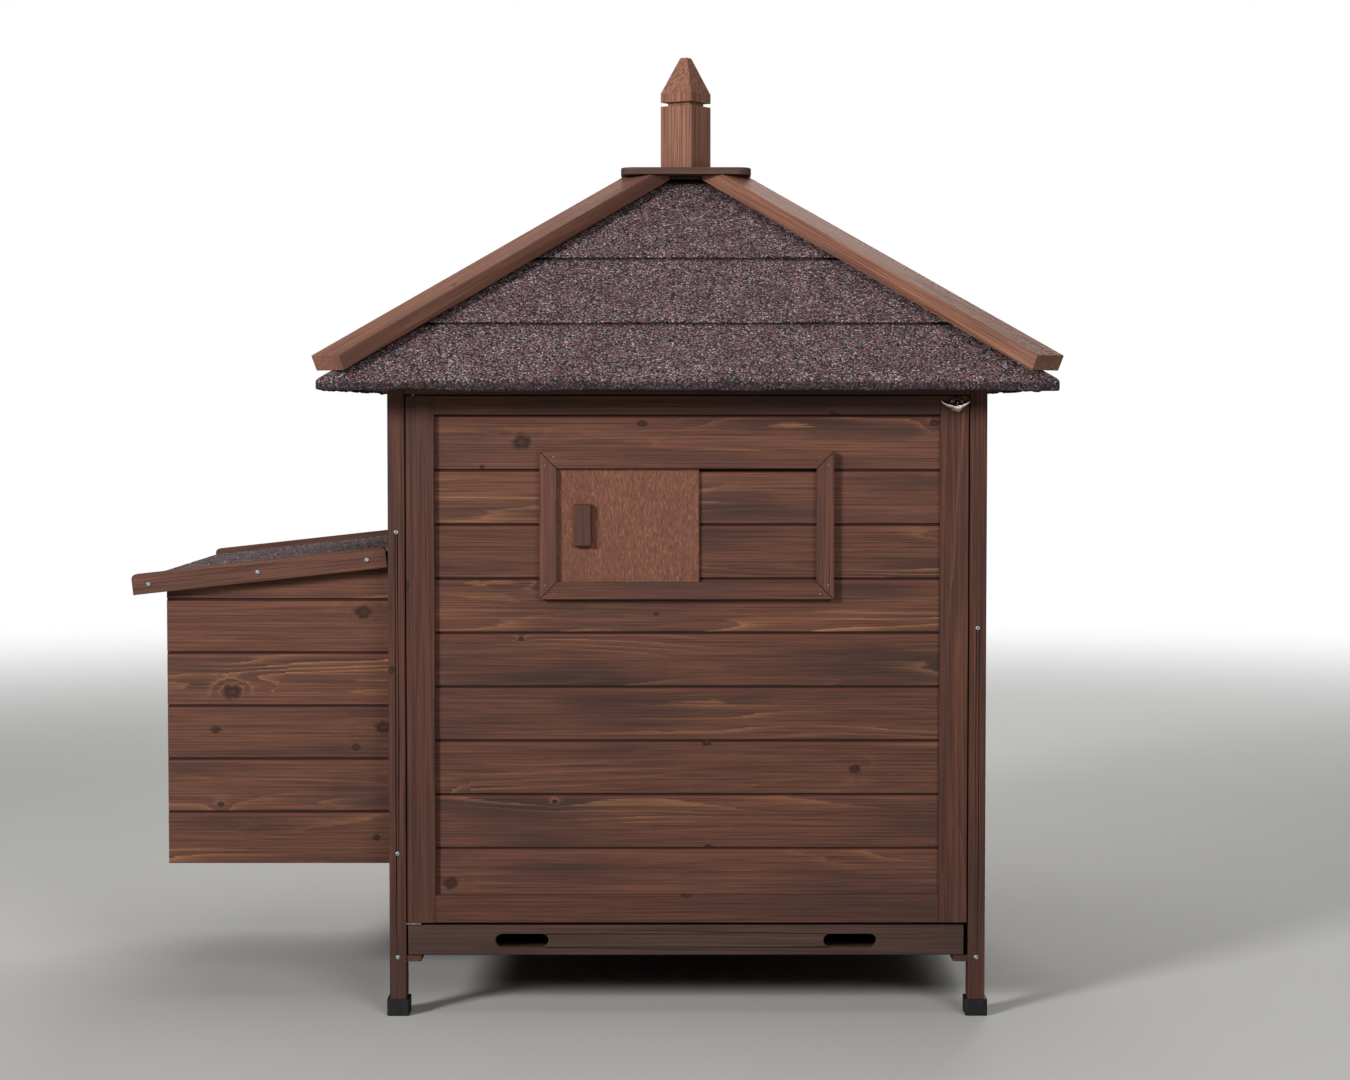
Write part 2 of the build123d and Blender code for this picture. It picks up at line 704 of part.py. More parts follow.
# ---- front door ----
door_left, door_right = inner_left + door_gap, inner_right - door_gap
door_front, door_back = front, front + door_t
cheek_back = front + board_inset
stile_in_left, stile_in_right = door_left + stile_w, door_right - stile_w
latch_x, latch_z = door_right - latch_in, door_top - latch_down
pivot_foot = tray_bottom + tray_h + bracket_gap

with BuildPart() as door_left_stile:
    block(door_left, stile_in_left, door_front, door_back, door_bottom, door_top)
    chamfer(door_left_stile.edges().filter_by(Axis.Z), stile_ease)
    x0, x1 = stile_in_left - rebate, stile_in_left
    block(x0, x1, cheek_back, door_back, 0, door_top, mode=Mode.SUBTRACT)
    for z in (door_bottom, door_top - pivot_depth):
        rod(Plane((pivot_x, pivot_y, z)), pivot_r + fit_gap, pivot_depth, mode=Mode.SUBTRACT)
finish(door_left_stile, "door_left_stile")

with BuildPart() as door_right_stile:
    block(stile_in_right, door_right, door_front, door_back, door_bottom, door_top)
    chamfer(door_right_stile.edges().filter_by(Axis.Z), stile_ease)
    x0, x1 = stile_in_right, stile_in_right + rebate
    block(x0, x1, cheek_back, door_back, 0, door_top, mode=Mode.SUBTRACT)
    spindle_hole = Plane(origin=(latch_x, door_front, latch_z), z_dir=(0, 1, 0))
    rod(spindle_hole, spindle_r + running_gap, door_t, mode=Mode.SUBTRACT)
finish(door_right_stile, "door_right_stile")

low_top = door_bottom + door_rail_low
high_bottom = door_top - door_rail_high
with BuildPart() as door_rails:
    for z0, z1 in ((door_bottom, low_top), (high_bottom, door_top)):
        block(stile_in_left, stile_in_right, door_front, cheek_back, z0, z1)
    tenon_left, tenon_right = stile_in_left - rebate, stile_in_right + rebate
    block(tenon_left, tenon_right, cheek_back, door_back, door_bottom, low_top - rebate)
    block(tenon_left, tenon_right, cheek_back, door_back, high_bottom + rebate, door_top)
finish(door_rails, "door_rails")

window_x0 = axis_x - window_left
window_x1 = window_x0 + window_w
window_z1 = door_top - window_drop
window_z = window_z1 - window_h
pane_x0 = window_x0 + frame_w
pane_z0, pane_z1 = window_z + frame_w, window_z1 - frame_w
vent_x0 = pane_x0 + vent_margin
vent_z0, vent_z1 = pane_z0 + vent_margin, pane_z1 - vent_margin

door_section = Plane(origin=(tenon_left, cheek_back, 0), x_dir=(0, 1, 0), z_dir=(1, 0, 0))
with BuildPart() as door_boards:
    clad(door_section, tenon_right - tenon_left, low_top - rebate, high_bottom + rebate, high_bottom)
    block(vent_x0, vent_x0 + vent_w, front, door_back, vent_z0, vent_z1, mode=Mode.SUBTRACT)
finish(door_boards, "door_boards")

# ---- window frame, mesh and shutter ----
door_face = Plane(origin=(0, cheek_back, 0), x_dir=(1, 0, 0), z_dir=(0, -1, 0))


def frame_corners(inset):
    """Corners of the window frame's outline, moved in by an inset."""
    x0, x1 = window_x0 + inset, window_x1 - inset
    z0, z1 = window_z + inset, window_z1 - inset
    return [(x0, z0), (x1, z0), (x1, z1), (x0, z1)]


def frame_members(inset, level, amount):
    """Four mitred lengths round the window, from the outline in to an inset."""
    outer, inner = frame_corners(0), frame_corners(inset)
    for corner in range(4):
        following = (corner + 1) % 4
        along = Vector(*outer[following]) - Vector(*outer[corner])
        step = along.normalized() * mitre_gap
        near = [Vector(*outer[corner]) + step, Vector(*inner[corner]) + step]
        far = [Vector(*inner[following]) - step, Vector(*outer[following]) - step]
        outline(door_face.offset(level), near + far, amount)


with BuildPart() as window_frame:
    frame_members(frame_w - groove_deep, 0, groove_wide)
    frame_members(frame_w, groove_wide, frame_t - groove_wide)
finish(window_frame, "window_frame")

with BuildPart() as vent_mesh:
    x0, x1 = vent_x0 - mesh_margin, vent_x0 + vent_w + mesh_margin
    z0, z1 = vent_z0 - mesh_margin, vent_z1 + mesh_margin
    block(x0, x1, door_back, door_back + mesh_t, z0, z1)
    across = int((x1 - x0 - mesh_wire) // mesh_pitch)
    up = int((z1 - z0 - mesh_wire) // mesh_pitch)
    middle = ((x0 + x1) / 2, (z0 + z1) / 2)
    with BuildSketch(Plane(origin=(0, door_back + mesh_t, 0), x_dir=(1, 0, 0), z_dir=(0, -1, 0))):
        with Locations(middle):
            with GridLocations(mesh_pitch, mesh_pitch, across, up):
                Rectangle(mesh_pitch - mesh_wire, mesh_pitch - mesh_wire)
    extrude(amount=mesh_t, mode=Mode.SUBTRACT)
finish(vent_mesh, "vent_mesh")

shutter_lap = groove_deep - groove_end_gap
shutter_back = cheek_back - shutter_back_gap
shutter_front = shutter_back - shutter_t
with BuildPart() as shutter_panel:
    x0, x1 = pane_x0 - shutter_lap, pane_x0 + shutter_show
    block(x0, x1, shutter_front, shutter_back, pane_z0 - shutter_lap, pane_z1 + shutter_lap)
finish(shutter_panel, "shutter_panel")

with BuildPart() as shutter_handle:
    x0, z0 = pane_x0 + grip_in, (pane_z0 + pane_z1 - grip_h) / 2
    block(x0, x0 + grip_w, shutter_front - grip_t, shutter_front, z0, z0 + grip_h)
    fillet(shutter_handle.faces().sort_by(Axis.Y)[0].edges(), grip_round)
finish(shutter_handle, "shutter_handle")

# ---- door pivots and stop ----
with BuildPart() as door_pivot_pins:
    rod(Plane((pivot_x, pivot_y, pivot_foot)), pivot_r, door_bottom + pivot_depth - pivot_foot)
    upper_pin = Plane((pivot_x, pivot_y, door_top - pivot_depth))
    rod(upper_pin, pivot_r, pivot_depth + door_top_gap + pivot_rise)
finish(door_pivot_pins, "door_pivot_pins")

with BuildPart() as door_pivot_bracket:
    plate_z = pivot_foot + bracket_rise
    behind = door_back + bracket_behind
    block(inner_left, pivot_x + bracket_reach, front, inner_front, plate_z, plate_z + bracket_t)
    block(inner_left, inner_left + bracket_t, behind, inner_front, plate_z, plate_z + bracket_h)
    rod(Plane((pivot_x, pivot_y, plate_z)), pivot_r + running_gap, bracket_t, mode=Mode.SUBTRACT)
finish(door_pivot_bracket, "door_pivot_bracket")

with BuildPart() as door_stop:
    x0, y0 = inner_right - stop_w, door_back + fit_gap
    block(x0, inner_right, y0, inner_front, door_bottom, top_rail_z)
finish(door_stop, "door_stop")

# ---- latch: a winged handle on a spindle through the stile, with a cam behind the top rail ----
latch_face = Plane(origin=(latch_x, door_front, latch_z), x_dir=(1, 0, 0), z_dir=(0, -1, 0))
with BuildPart() as latch_plate:
    with BuildSketch(latch_face):
        SlotOverall(rose_h, rose_w, rotation=90)
        Circle(spindle_r + running_gap, mode=Mode.SUBTRACT)
    extrude(amount=rose_t)
finish(latch_plate, "latch_plate")

boss_foot = rose_t + fit_gap
with BuildPart() as latch_handle:
    with BuildSketch(latch_face.offset(boss_foot)):
        Circle(boss_r)
    extrude(amount=boss_t)
    with BuildSketch(latch_face.offset(boss_foot + wing_up)):
        with BuildLine():
            ThreePointArc((-30, 3), (-7, -8), (18, 6))
            Line((18, 6), (17, 10))
            ThreePointArc((17, 10), (-7, -0.5), (-29, 7))
            Line((-29, 7), (-30, 3))
        make_face()
    extrude(amount=wing_t)
    spindle = Plane(origin=(latch_x, door_front - boss_foot - wing_up, latch_z), z_dir=(0, 1, 0))
    rod(spindle, spindle_r, wing_up + boss_foot + door_t + cam_gap + cam_t + spindle_tail)
finish(latch_handle, "latch_handle")

cam_face = Plane(origin=(latch_x, door_back + cam_gap, latch_z), x_dir=(-1, 0, 0), z_dir=(0, 1, 0))
with BuildPart() as latch_cam:
    with BuildSketch(cam_face):
        with Locations(((cam_len - cam_w / 2) / 2, 0)):
            SlotCenterToCenter(cam_len - cam_w / 2, cam_w)
        Circle(spindle_r + cam_eye)
    extrude(amount=cam_t)
    with BuildSketch(cam_face.offset(cam_t)):
        RegularPolygon(cam_nut_apothem, 6, major_radius=False)
    extrude(amount=cam_nut_t)
    rod(cam_face, spindle_r + cam_bore_gap, cam_t + cam_nut_t, mode=Mode.SUBTRACT)
finish(latch_cam, "latch_cam")

# ---- droppings tray ----
tray_left, tray_right = inner_left + tray_gap + tray_shift, inner_right - tray_gap + tray_shift
tray_middle = (tray_left + tray_right) / 2
tray_face_y = front + tray_in
tray_inside = tray_face_y + tray_front_t
tray_end = rear - cross_t - tray_back_gap
tray_top = tray_bottom + tray_h
with BuildPart() as tray_front:
    block(tray_left, tray_right, tray_face_y, tray_inside, tray_bottom, tray_top)
    fillet(tray_front.faces().sort_by(Axis.Y)[0].edges(), tray_round)
    slots_at = (tray_middle, tray_face_y, tray_bottom + slot_rise)
    with BuildSketch(Plane(origin=slots_at, x_dir=(1, 0, 0), z_dir=(0, -1, 0))):
        with GridLocations(slot_spread, 0, 2, 1):
            SlotOverall(slot_len, slot_h)
    extrude(amount=-tray_front_t, mode=Mode.SUBTRACT)
finish(tray_front, "tray_front")

side_top = tray_bottom + tray_side_h
with BuildPart() as tray_sides:
    for x in (tray_left, tray_right - tray_side_t):
        block(x, x + tray_side_t, tray_inside, tray_end - tray_side_t, tray_bottom + fit_gap, side_top)
finish(tray_sides, "tray_sides")

with BuildPart() as tray_back:
    block(tray_left, tray_right, tray_end - tray_side_t, tray_end, tray_bottom + fit_gap, side_top)
finish(tray_back, "tray_back")

with BuildPart() as tray_floor:
    x0, x1 = tray_left + tray_side_t, tray_right - tray_side_t
    block(x0, x1, tray_inside, tray_end - tray_side_t, tray_floor_z, tray_floor_z + tray_floor_t)
finish(tray_floor, "tray_floor")

# ---- perches ----
perch_ys = (axis_y - perch_spread / 2, axis_y + perch_spread / 2)
cleat_low = perch_z - cleat_under
right_boards_in = right - board_inset - board_t
cleat_ends = ((inner_left, inner_left + cleat_t), (right_boards_in - cleat_t, right_boards_in))
with BuildPart() as perches:
    for y in perch_ys:
        x0, x1 = inner_left + fit_gap, right_boards_in - fit_gap
        block(x0, x1, y - perch_w / 2, y + perch_w / 2, perch_z, perch_z + perch_t)
    fillet(perches.edges().filter_by(Axis.X), perch_round)
finish(perches, "perches")

with BuildPart() as perch_supports:
    for y in perch_ys:
        for x0, x1 in cleat_ends:
            block(x0, x1, y - cleat_w / 2, y + cleat_w / 2, cleat_low, cleat_low + cleat_h)
            notch = perch_w / 2 + fit_gap
            block(x0, x1, y - notch, y + notch, perch_z, cleat_low + cleat_h, mode=Mode.SUBTRACT)
finish(perch_supports, "perch_supports")

# ---- pop door and its guides ----
rear_face = rear - board_inset
pop_back = rear_face + fit_gap
pop_front = pop_back + pop_t
guide_x = pop_w / 2 + pop_lap - guide_groove + guide_slack
guide_top = pop_top + pop_h + 2 * pop_lap
with BuildPart() as pop_door:
    x0, x1 = pop_left - pop_lap, pop_right + pop_lap
    block(x0, x1, pop_back, pop_front, pop_sill + fit_gap, pop_top + pop_lap)
finish(pop_door, "pop_door")

with BuildPart() as pop_door_handle:
    z0 = pop_sill + pop_grip_up
    x0, x1 = axis_x - pop_grip_w / 2, axis_x + pop_grip_w / 2
    block(x0, x1, pop_front, pop_front + pop_grip_t, z0, z0 + pop_grip_h)
    fillet(pop_door_handle.faces().sort_by(Axis.Y)[-1].edges(), pop_grip_round)
finish(pop_door_handle, "pop_door_handle")

with BuildPart() as pop_door_guides:
    for side in (-1, 1):
        near, far = axis_x + side * guide_x, axis_x + side * (guide_x + guide_w)
        deep = axis_x + side * (guide_x + guide_groove)
        block(min(near, far), max(near, far), rear_face, rear_face + guide_t, pop_sill, guide_top)
        x0, x1, y1 = min(near, deep), max(near, deep), pop_front + fit_gap
        block(x0, x1, rear_face, y1, 0, guide_top, mode=Mode.SUBTRACT)
finish(pop_door_guides, "pop_door_guides")

with BuildPart() as ramp_sill:
    reach = guide_x + guide_w
    block(axis_x - reach, axis_x + reach, rear_face, rear_face + sill_d, pop_sill - sill_h, pop_sill)
finish(ramp_sill, "ramp_sill")

# ---- ramp: X runs down the ramp from the hinge axis, Z is the ramp's upward normal ----
ramp_axis_y = rear_face + sill_d + barrel_r
ramp_frame = Plane(
    origin=(axis_x, ramp_axis_y, ramp_axis_z),
    x_dir=(0, cos(ramp_fall), -sin(ramp_fall)),
    z_dir=(0, sin(ramp_fall), cos(ramp_fall)),
)
with BuildPart() as ramp_board:
    with BuildSketch(ramp_frame.offset(-ramp_below)):
        with Locations(((ramp_start + ramp_len) / 2, 0)):
            Rectangle(ramp_len - ramp_start, ramp_w)
    extrude(amount=ramp_t)
finish(ramp_board, "ramp_board")

with BuildPart() as ramp_cleats:
    first, last = leaf_w + cleat_past_leaf, ramp_len - cleat_from_end
    spacing = (last - first) / (ramp_cleats_count - 1)
    with BuildSketch(ramp_frame.offset(-barrel_r)):
        with Locations(((first + last) / 2, 0)):
            with GridLocations(spacing, 0, ramp_cleats_count, 1):
                Rectangle(cleat_ramp_w, ramp_w - cleat_short)
    extrude(amount=cleat_ramp_t)
finish(ramp_cleats, "ramp_cleats")

# ---- hinges: barrel on the local origin, leaf along +X, tangent to the barrel at -Y ----
hinge_len = 3 * knuckle


def leaf(plane, outer):
    """One hinge leaf about a plane's normal, with the two outer knuckles or the middle one."""
    spans = [(0, knuckle), (2 * knuckle, hinge_len)] if outer else [(knuckle, 2 * knuckle)]
    with BuildPart(mode=Mode.PRIVATE) as half_hinge:
        clear = barrel_r + knuckle_gap
        low, high = -barrel_r, leaf_t - barrel_r
        points = [(clear, low), (leaf_w, low), (leaf_w, high), (clear, high)]
        outline(plane.offset(-hinge_len / 2), points, hinge_len)
        tail = [(0, low), (clear, low), (clear, high), (0, high)]
        for start, end in spans:
            start += knuckle_gap if start else 0
            end -= knuckle_gap if end < hinge_len else 0
            outline(plane.offset(start - hinge_len / 2), tail, end - start)
            rod(plane.offset(start - hinge_len / 2), barrel_r, end - start)
        rod(plane.offset(-hinge_len / 2), hinge_pin_r + running_gap, hinge_len, mode=Mode.SUBTRACT)
    return half_hinge.part


lid_hinge_out = lid_half - lid_hinge_in
ramp_hinge_out = ramp_w / 2 - ramp_hinge_in
lid_hinge_ys = (axis_y - lid_hinge_out, axis_y + lid_hinge_out)
ramp_hinge_xs = (axis_x - ramp_hinge_out, axis_x + ramp_hinge_out)
lid_hinge_spots = [Vector(lid_axis_x, y, lid_axis_z) for y in lid_hinge_ys]
ramp_hinge_spots = [Vector(x, ramp_axis_y, ramp_axis_z) for x in ramp_hinge_xs]

with BuildPart() as hinge_wall_leaves:
    for spot in lid_hinge_spots:
        add(leaf(Plane(origin=spot, x_dir=(0, 0, 1), z_dir=(0, 1, 0)), outer=True))
    for spot in ramp_hinge_spots:
        add(leaf(Plane(origin=spot, x_dir=(0, 0, -1), z_dir=(1, 0, 0)), outer=True))
finish(hinge_wall_leaves, "hinge_wall_leaves")

with BuildPart() as lid_hinge_leaves:
    for spot in lid_hinge_spots:
        add(leaf(Plane(origin=spot, x_dir=lid_frame.x_dir, z_dir=(0, 1, 0)), outer=False))
finish(lid_hinge_leaves, "lid_hinge_leaves")

with BuildPart() as ramp_hinge_leaves:
    for spot in ramp_hinge_spots:
        add(leaf(Plane(origin=spot, x_dir=ramp_frame.x_dir, z_dir=(1, 0, 0)), outer=False))
finish(ramp_hinge_leaves, "ramp_hinge_leaves")

with BuildPart() as hinge_pins:
    for spot in lid_hinge_spots:
        rod(Plane(origin=spot, z_dir=(0, 1, 0)).offset(-hinge_len / 2), hinge_pin_r, hinge_len)
    for spot in ramp_hinge_spots:
        rod(Plane(origin=spot, z_dir=(1, 0, 0)).offset(-hinge_len / 2), hinge_pin_r, hinge_len)
finish(hinge_pins, "hinge_pins")

# ---- screws ----


def screws(planes, length):
    """Domed screws driven along each plane's normal."""
    with BuildPart(mode=Mode.PRIVATE) as screw:
        rod(Plane((0, 0, -screw_head_h)), screw_head_r, screw_head_h)
        fillet(screw.faces().sort_by(Axis.Z)[0].edges(), screw_dome)
        rod(Plane.XY, screw_r, length)
    for plane in planes:
        with Locations(plane):
            add(screw.part)


with BuildPart() as leg_screws:
    screws(leg_screw_planes, leg_d + screw_into)
finish(leg_screws, "leg_screws")

with BuildPart() as lid_screws:
    screws(lid_screw_planes, fascia_t)
finish(lid_screws, "lid_screws")
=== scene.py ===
import math
import bmesh
import bpy
import numpy as np
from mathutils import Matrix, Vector


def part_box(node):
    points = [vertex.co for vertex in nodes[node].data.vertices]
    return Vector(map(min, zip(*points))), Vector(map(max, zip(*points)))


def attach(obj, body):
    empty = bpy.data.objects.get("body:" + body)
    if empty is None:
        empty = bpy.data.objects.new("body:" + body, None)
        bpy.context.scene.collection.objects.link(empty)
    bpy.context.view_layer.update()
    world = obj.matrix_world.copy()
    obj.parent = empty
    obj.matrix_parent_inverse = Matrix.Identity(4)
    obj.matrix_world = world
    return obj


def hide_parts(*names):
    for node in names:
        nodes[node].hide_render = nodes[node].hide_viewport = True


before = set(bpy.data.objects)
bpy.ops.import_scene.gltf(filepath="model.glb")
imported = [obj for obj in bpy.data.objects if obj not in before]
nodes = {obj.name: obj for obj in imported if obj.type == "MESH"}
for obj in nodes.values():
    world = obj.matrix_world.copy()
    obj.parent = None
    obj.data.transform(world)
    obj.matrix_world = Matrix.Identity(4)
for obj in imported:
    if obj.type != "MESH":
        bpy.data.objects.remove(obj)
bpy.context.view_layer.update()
mm = 0.001
print("frame loaded:", len(nodes), "nodes")

# where the house stands, from its corner legs
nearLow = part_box("leg_front_left")[0]
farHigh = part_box("leg_rear_right")[1]
left, front, right, rear = nearLow.x, nearLow.y, farHigh.x, farHigh.y
axisX, axisY = (left + right) / 2, (front + rear) / 2

view = {"lens": 73.6, "aside": -0.028, "back": 4.508, "height": 0.997, "down": 2.7, "yaw": -0.1}
cameraData = bpy.data.cameras.new("camera")
cameraData.lens = view["lens"]
camera = bpy.data.objects.new("camera", cameraData)
camera.location = (axisX + view["aside"], front - view["back"], view["height"])
camera.rotation_euler = (math.radians(90 - view["down"]), 0, math.radians(view["yaw"]))
bpy.context.scene.collection.objects.link(camera)
bpy.context.scene.camera = camera


def linear(hexColour):  # an sRGB hex value as the linear colour that shaders take
    parts = [int(hexColour[i:i + 2], 16) / 255 for i in (0, 2, 4)]
    return [p / 12.92 if p <= 0.04045 else ((p + 0.055) / 1.055) ** 2.4 for p in parts] + [1.0]


def addNode(tree, kind, settings=None, inputs=None):  # a node with its settings, values and links
    node = tree.nodes.new(kind)
    for key, value in (settings or {}).items():
        setattr(node, key, value)
    for key, value in (inputs or {}).items():
        value = value.outputs[0] if isinstance(value, bpy.types.Node) else value
        if isinstance(value, bpy.types.NodeSocket):
            tree.links.new(value, node.inputs[key])
        else:
            node.inputs[key].default_value = value
    return node


def newMaterial(name):  # an empty node tree with its output
    material = bpy.data.materials.new(name)
    material.use_nodes = True
    material.node_tree.nodes.clear()
    return material, material.node_tree, addNode(material.node_tree, "ShaderNodeOutputMaterial")


def surface(name, grids, material, closedAlong=False, closedAcross=False, capped=False, smooth=True):
    # every grid of points (rows, columns) becomes quads; a closed direction joins its end to its start,
    # and a capped grid gets one more row at each end, drawn in to that end's middle
    points, faces, start = [], [], 0
    for grid in grids:
        if capped:
            ends = [np.broadcast_to(row.mean(0), row.shape) for row in (grid[0], grid[-1])]
            grid = np.concatenate([ends[0][None], grid, ends[1][None]])
        rows, columns = grid.shape[:2]
        index = np.arange(rows * columns).reshape(rows, columns) + start
        if closedAlong:
            index = np.vstack([index, index[:1]])
        if closedAcross:
            index = np.hstack([index, index[:, :1]])
        corners = (index[:-1, :-1], index[:-1, 1:], index[1:, 1:], index[1:, :-1])
        faces.append(np.stack(corners, axis=-1).reshape(-1, 4))
        points.append(grid.reshape(-1, 3))
        start += rows * columns
    mesh = bpy.data.meshes.new(name)
    mesh.from_pydata(np.concatenate(points).tolist(), [], np.concatenate(faces).tolist())
    shape = bmesh.new()
    shape.from_mesh(mesh)
    bmesh.ops.remove_doubles(shape, verts=shape.verts, dist=1e-7)
    bmesh.ops.recalc_face_normals(shape, faces=shape.faces)
    shape.to_mesh(mesh)
    shape.free()
    mesh.polygons.foreach_set("use_smooth", np.full(len(mesh.polygons), smooth))
    mesh.materials.append(material)
    piece = bpy.data.objects.new(name, mesh)
    bpy.context.scene.collection.objects.link(piece)
    return piece


def wander(x, seed, shortest, longest, count=7):
    # a smooth uneven line: a sum of sines whose wavelengths spread between two lengths, with seeded phases
    random = np.random.default_rng(seed)
    waves = np.geomspace(longest, shortest, count)
    phases = random.uniform(0, 2 * np.pi, count)
    strengths = (waves / longest) ** 0.5
    x = np.asarray(x)[..., None]
    return (np.sin(2 * np.pi * x / waves + phases) * strengths).sum(-1) / strengths.sum()


def bevelEdges(name, width, segments=2):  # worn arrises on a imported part, whose triangles are joined first
    weld = nodes[name].modifiers.new("weld", "WELD")
    weld.merge_threshold = 0.00002
    bevel = nodes[name].modifiers.new("bevel", "BEVEL")
    bevel.width = width
    bevel.segments = segments
    bevel.limit_method = "ANGLE"
    bevel.angle_limit = math.radians(35)
    bevel.harden_normals = False


def dress(material, *names):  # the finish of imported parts
    for name in names:
        slots = nodes[name].data.materials
        slots.clear()
        slots.append(material)


# The timber is spruce stained a dark reddish brown.
# Softwood takes stain in its soft early wood, so the hard late wood stays as paler orange lines that run
# with the grain, loop into flames on a flat-sawn board and swerve round its knots.
timber = {
    "fibre": 2.3, "fibreLength": 210.0,     # mm, drawn coarser than real fibres so that they show
    "ring": 7.5,                            # mm between late-wood lines
    "flameWidth": 70.0, "flameLength": 900.0,
    "ragged": 5.0,                          # mm that fibres push a late-wood line's edge
    "ringDrift": 80.0, "ringLean": 0.3,     # how far a slow noise, and the board's width, carry the rings
    "lateSharp": 4.5,                       # how thin the pale lines are
    "knotGap": 240.0, "knotSize": 9.0, "knotPush": 2.6,
    "patch": 420.0, "patchWidth": 62.0,     # where the stain lies thick
}
diagonal = 0.7071    # a length along a side against one along the diagonal


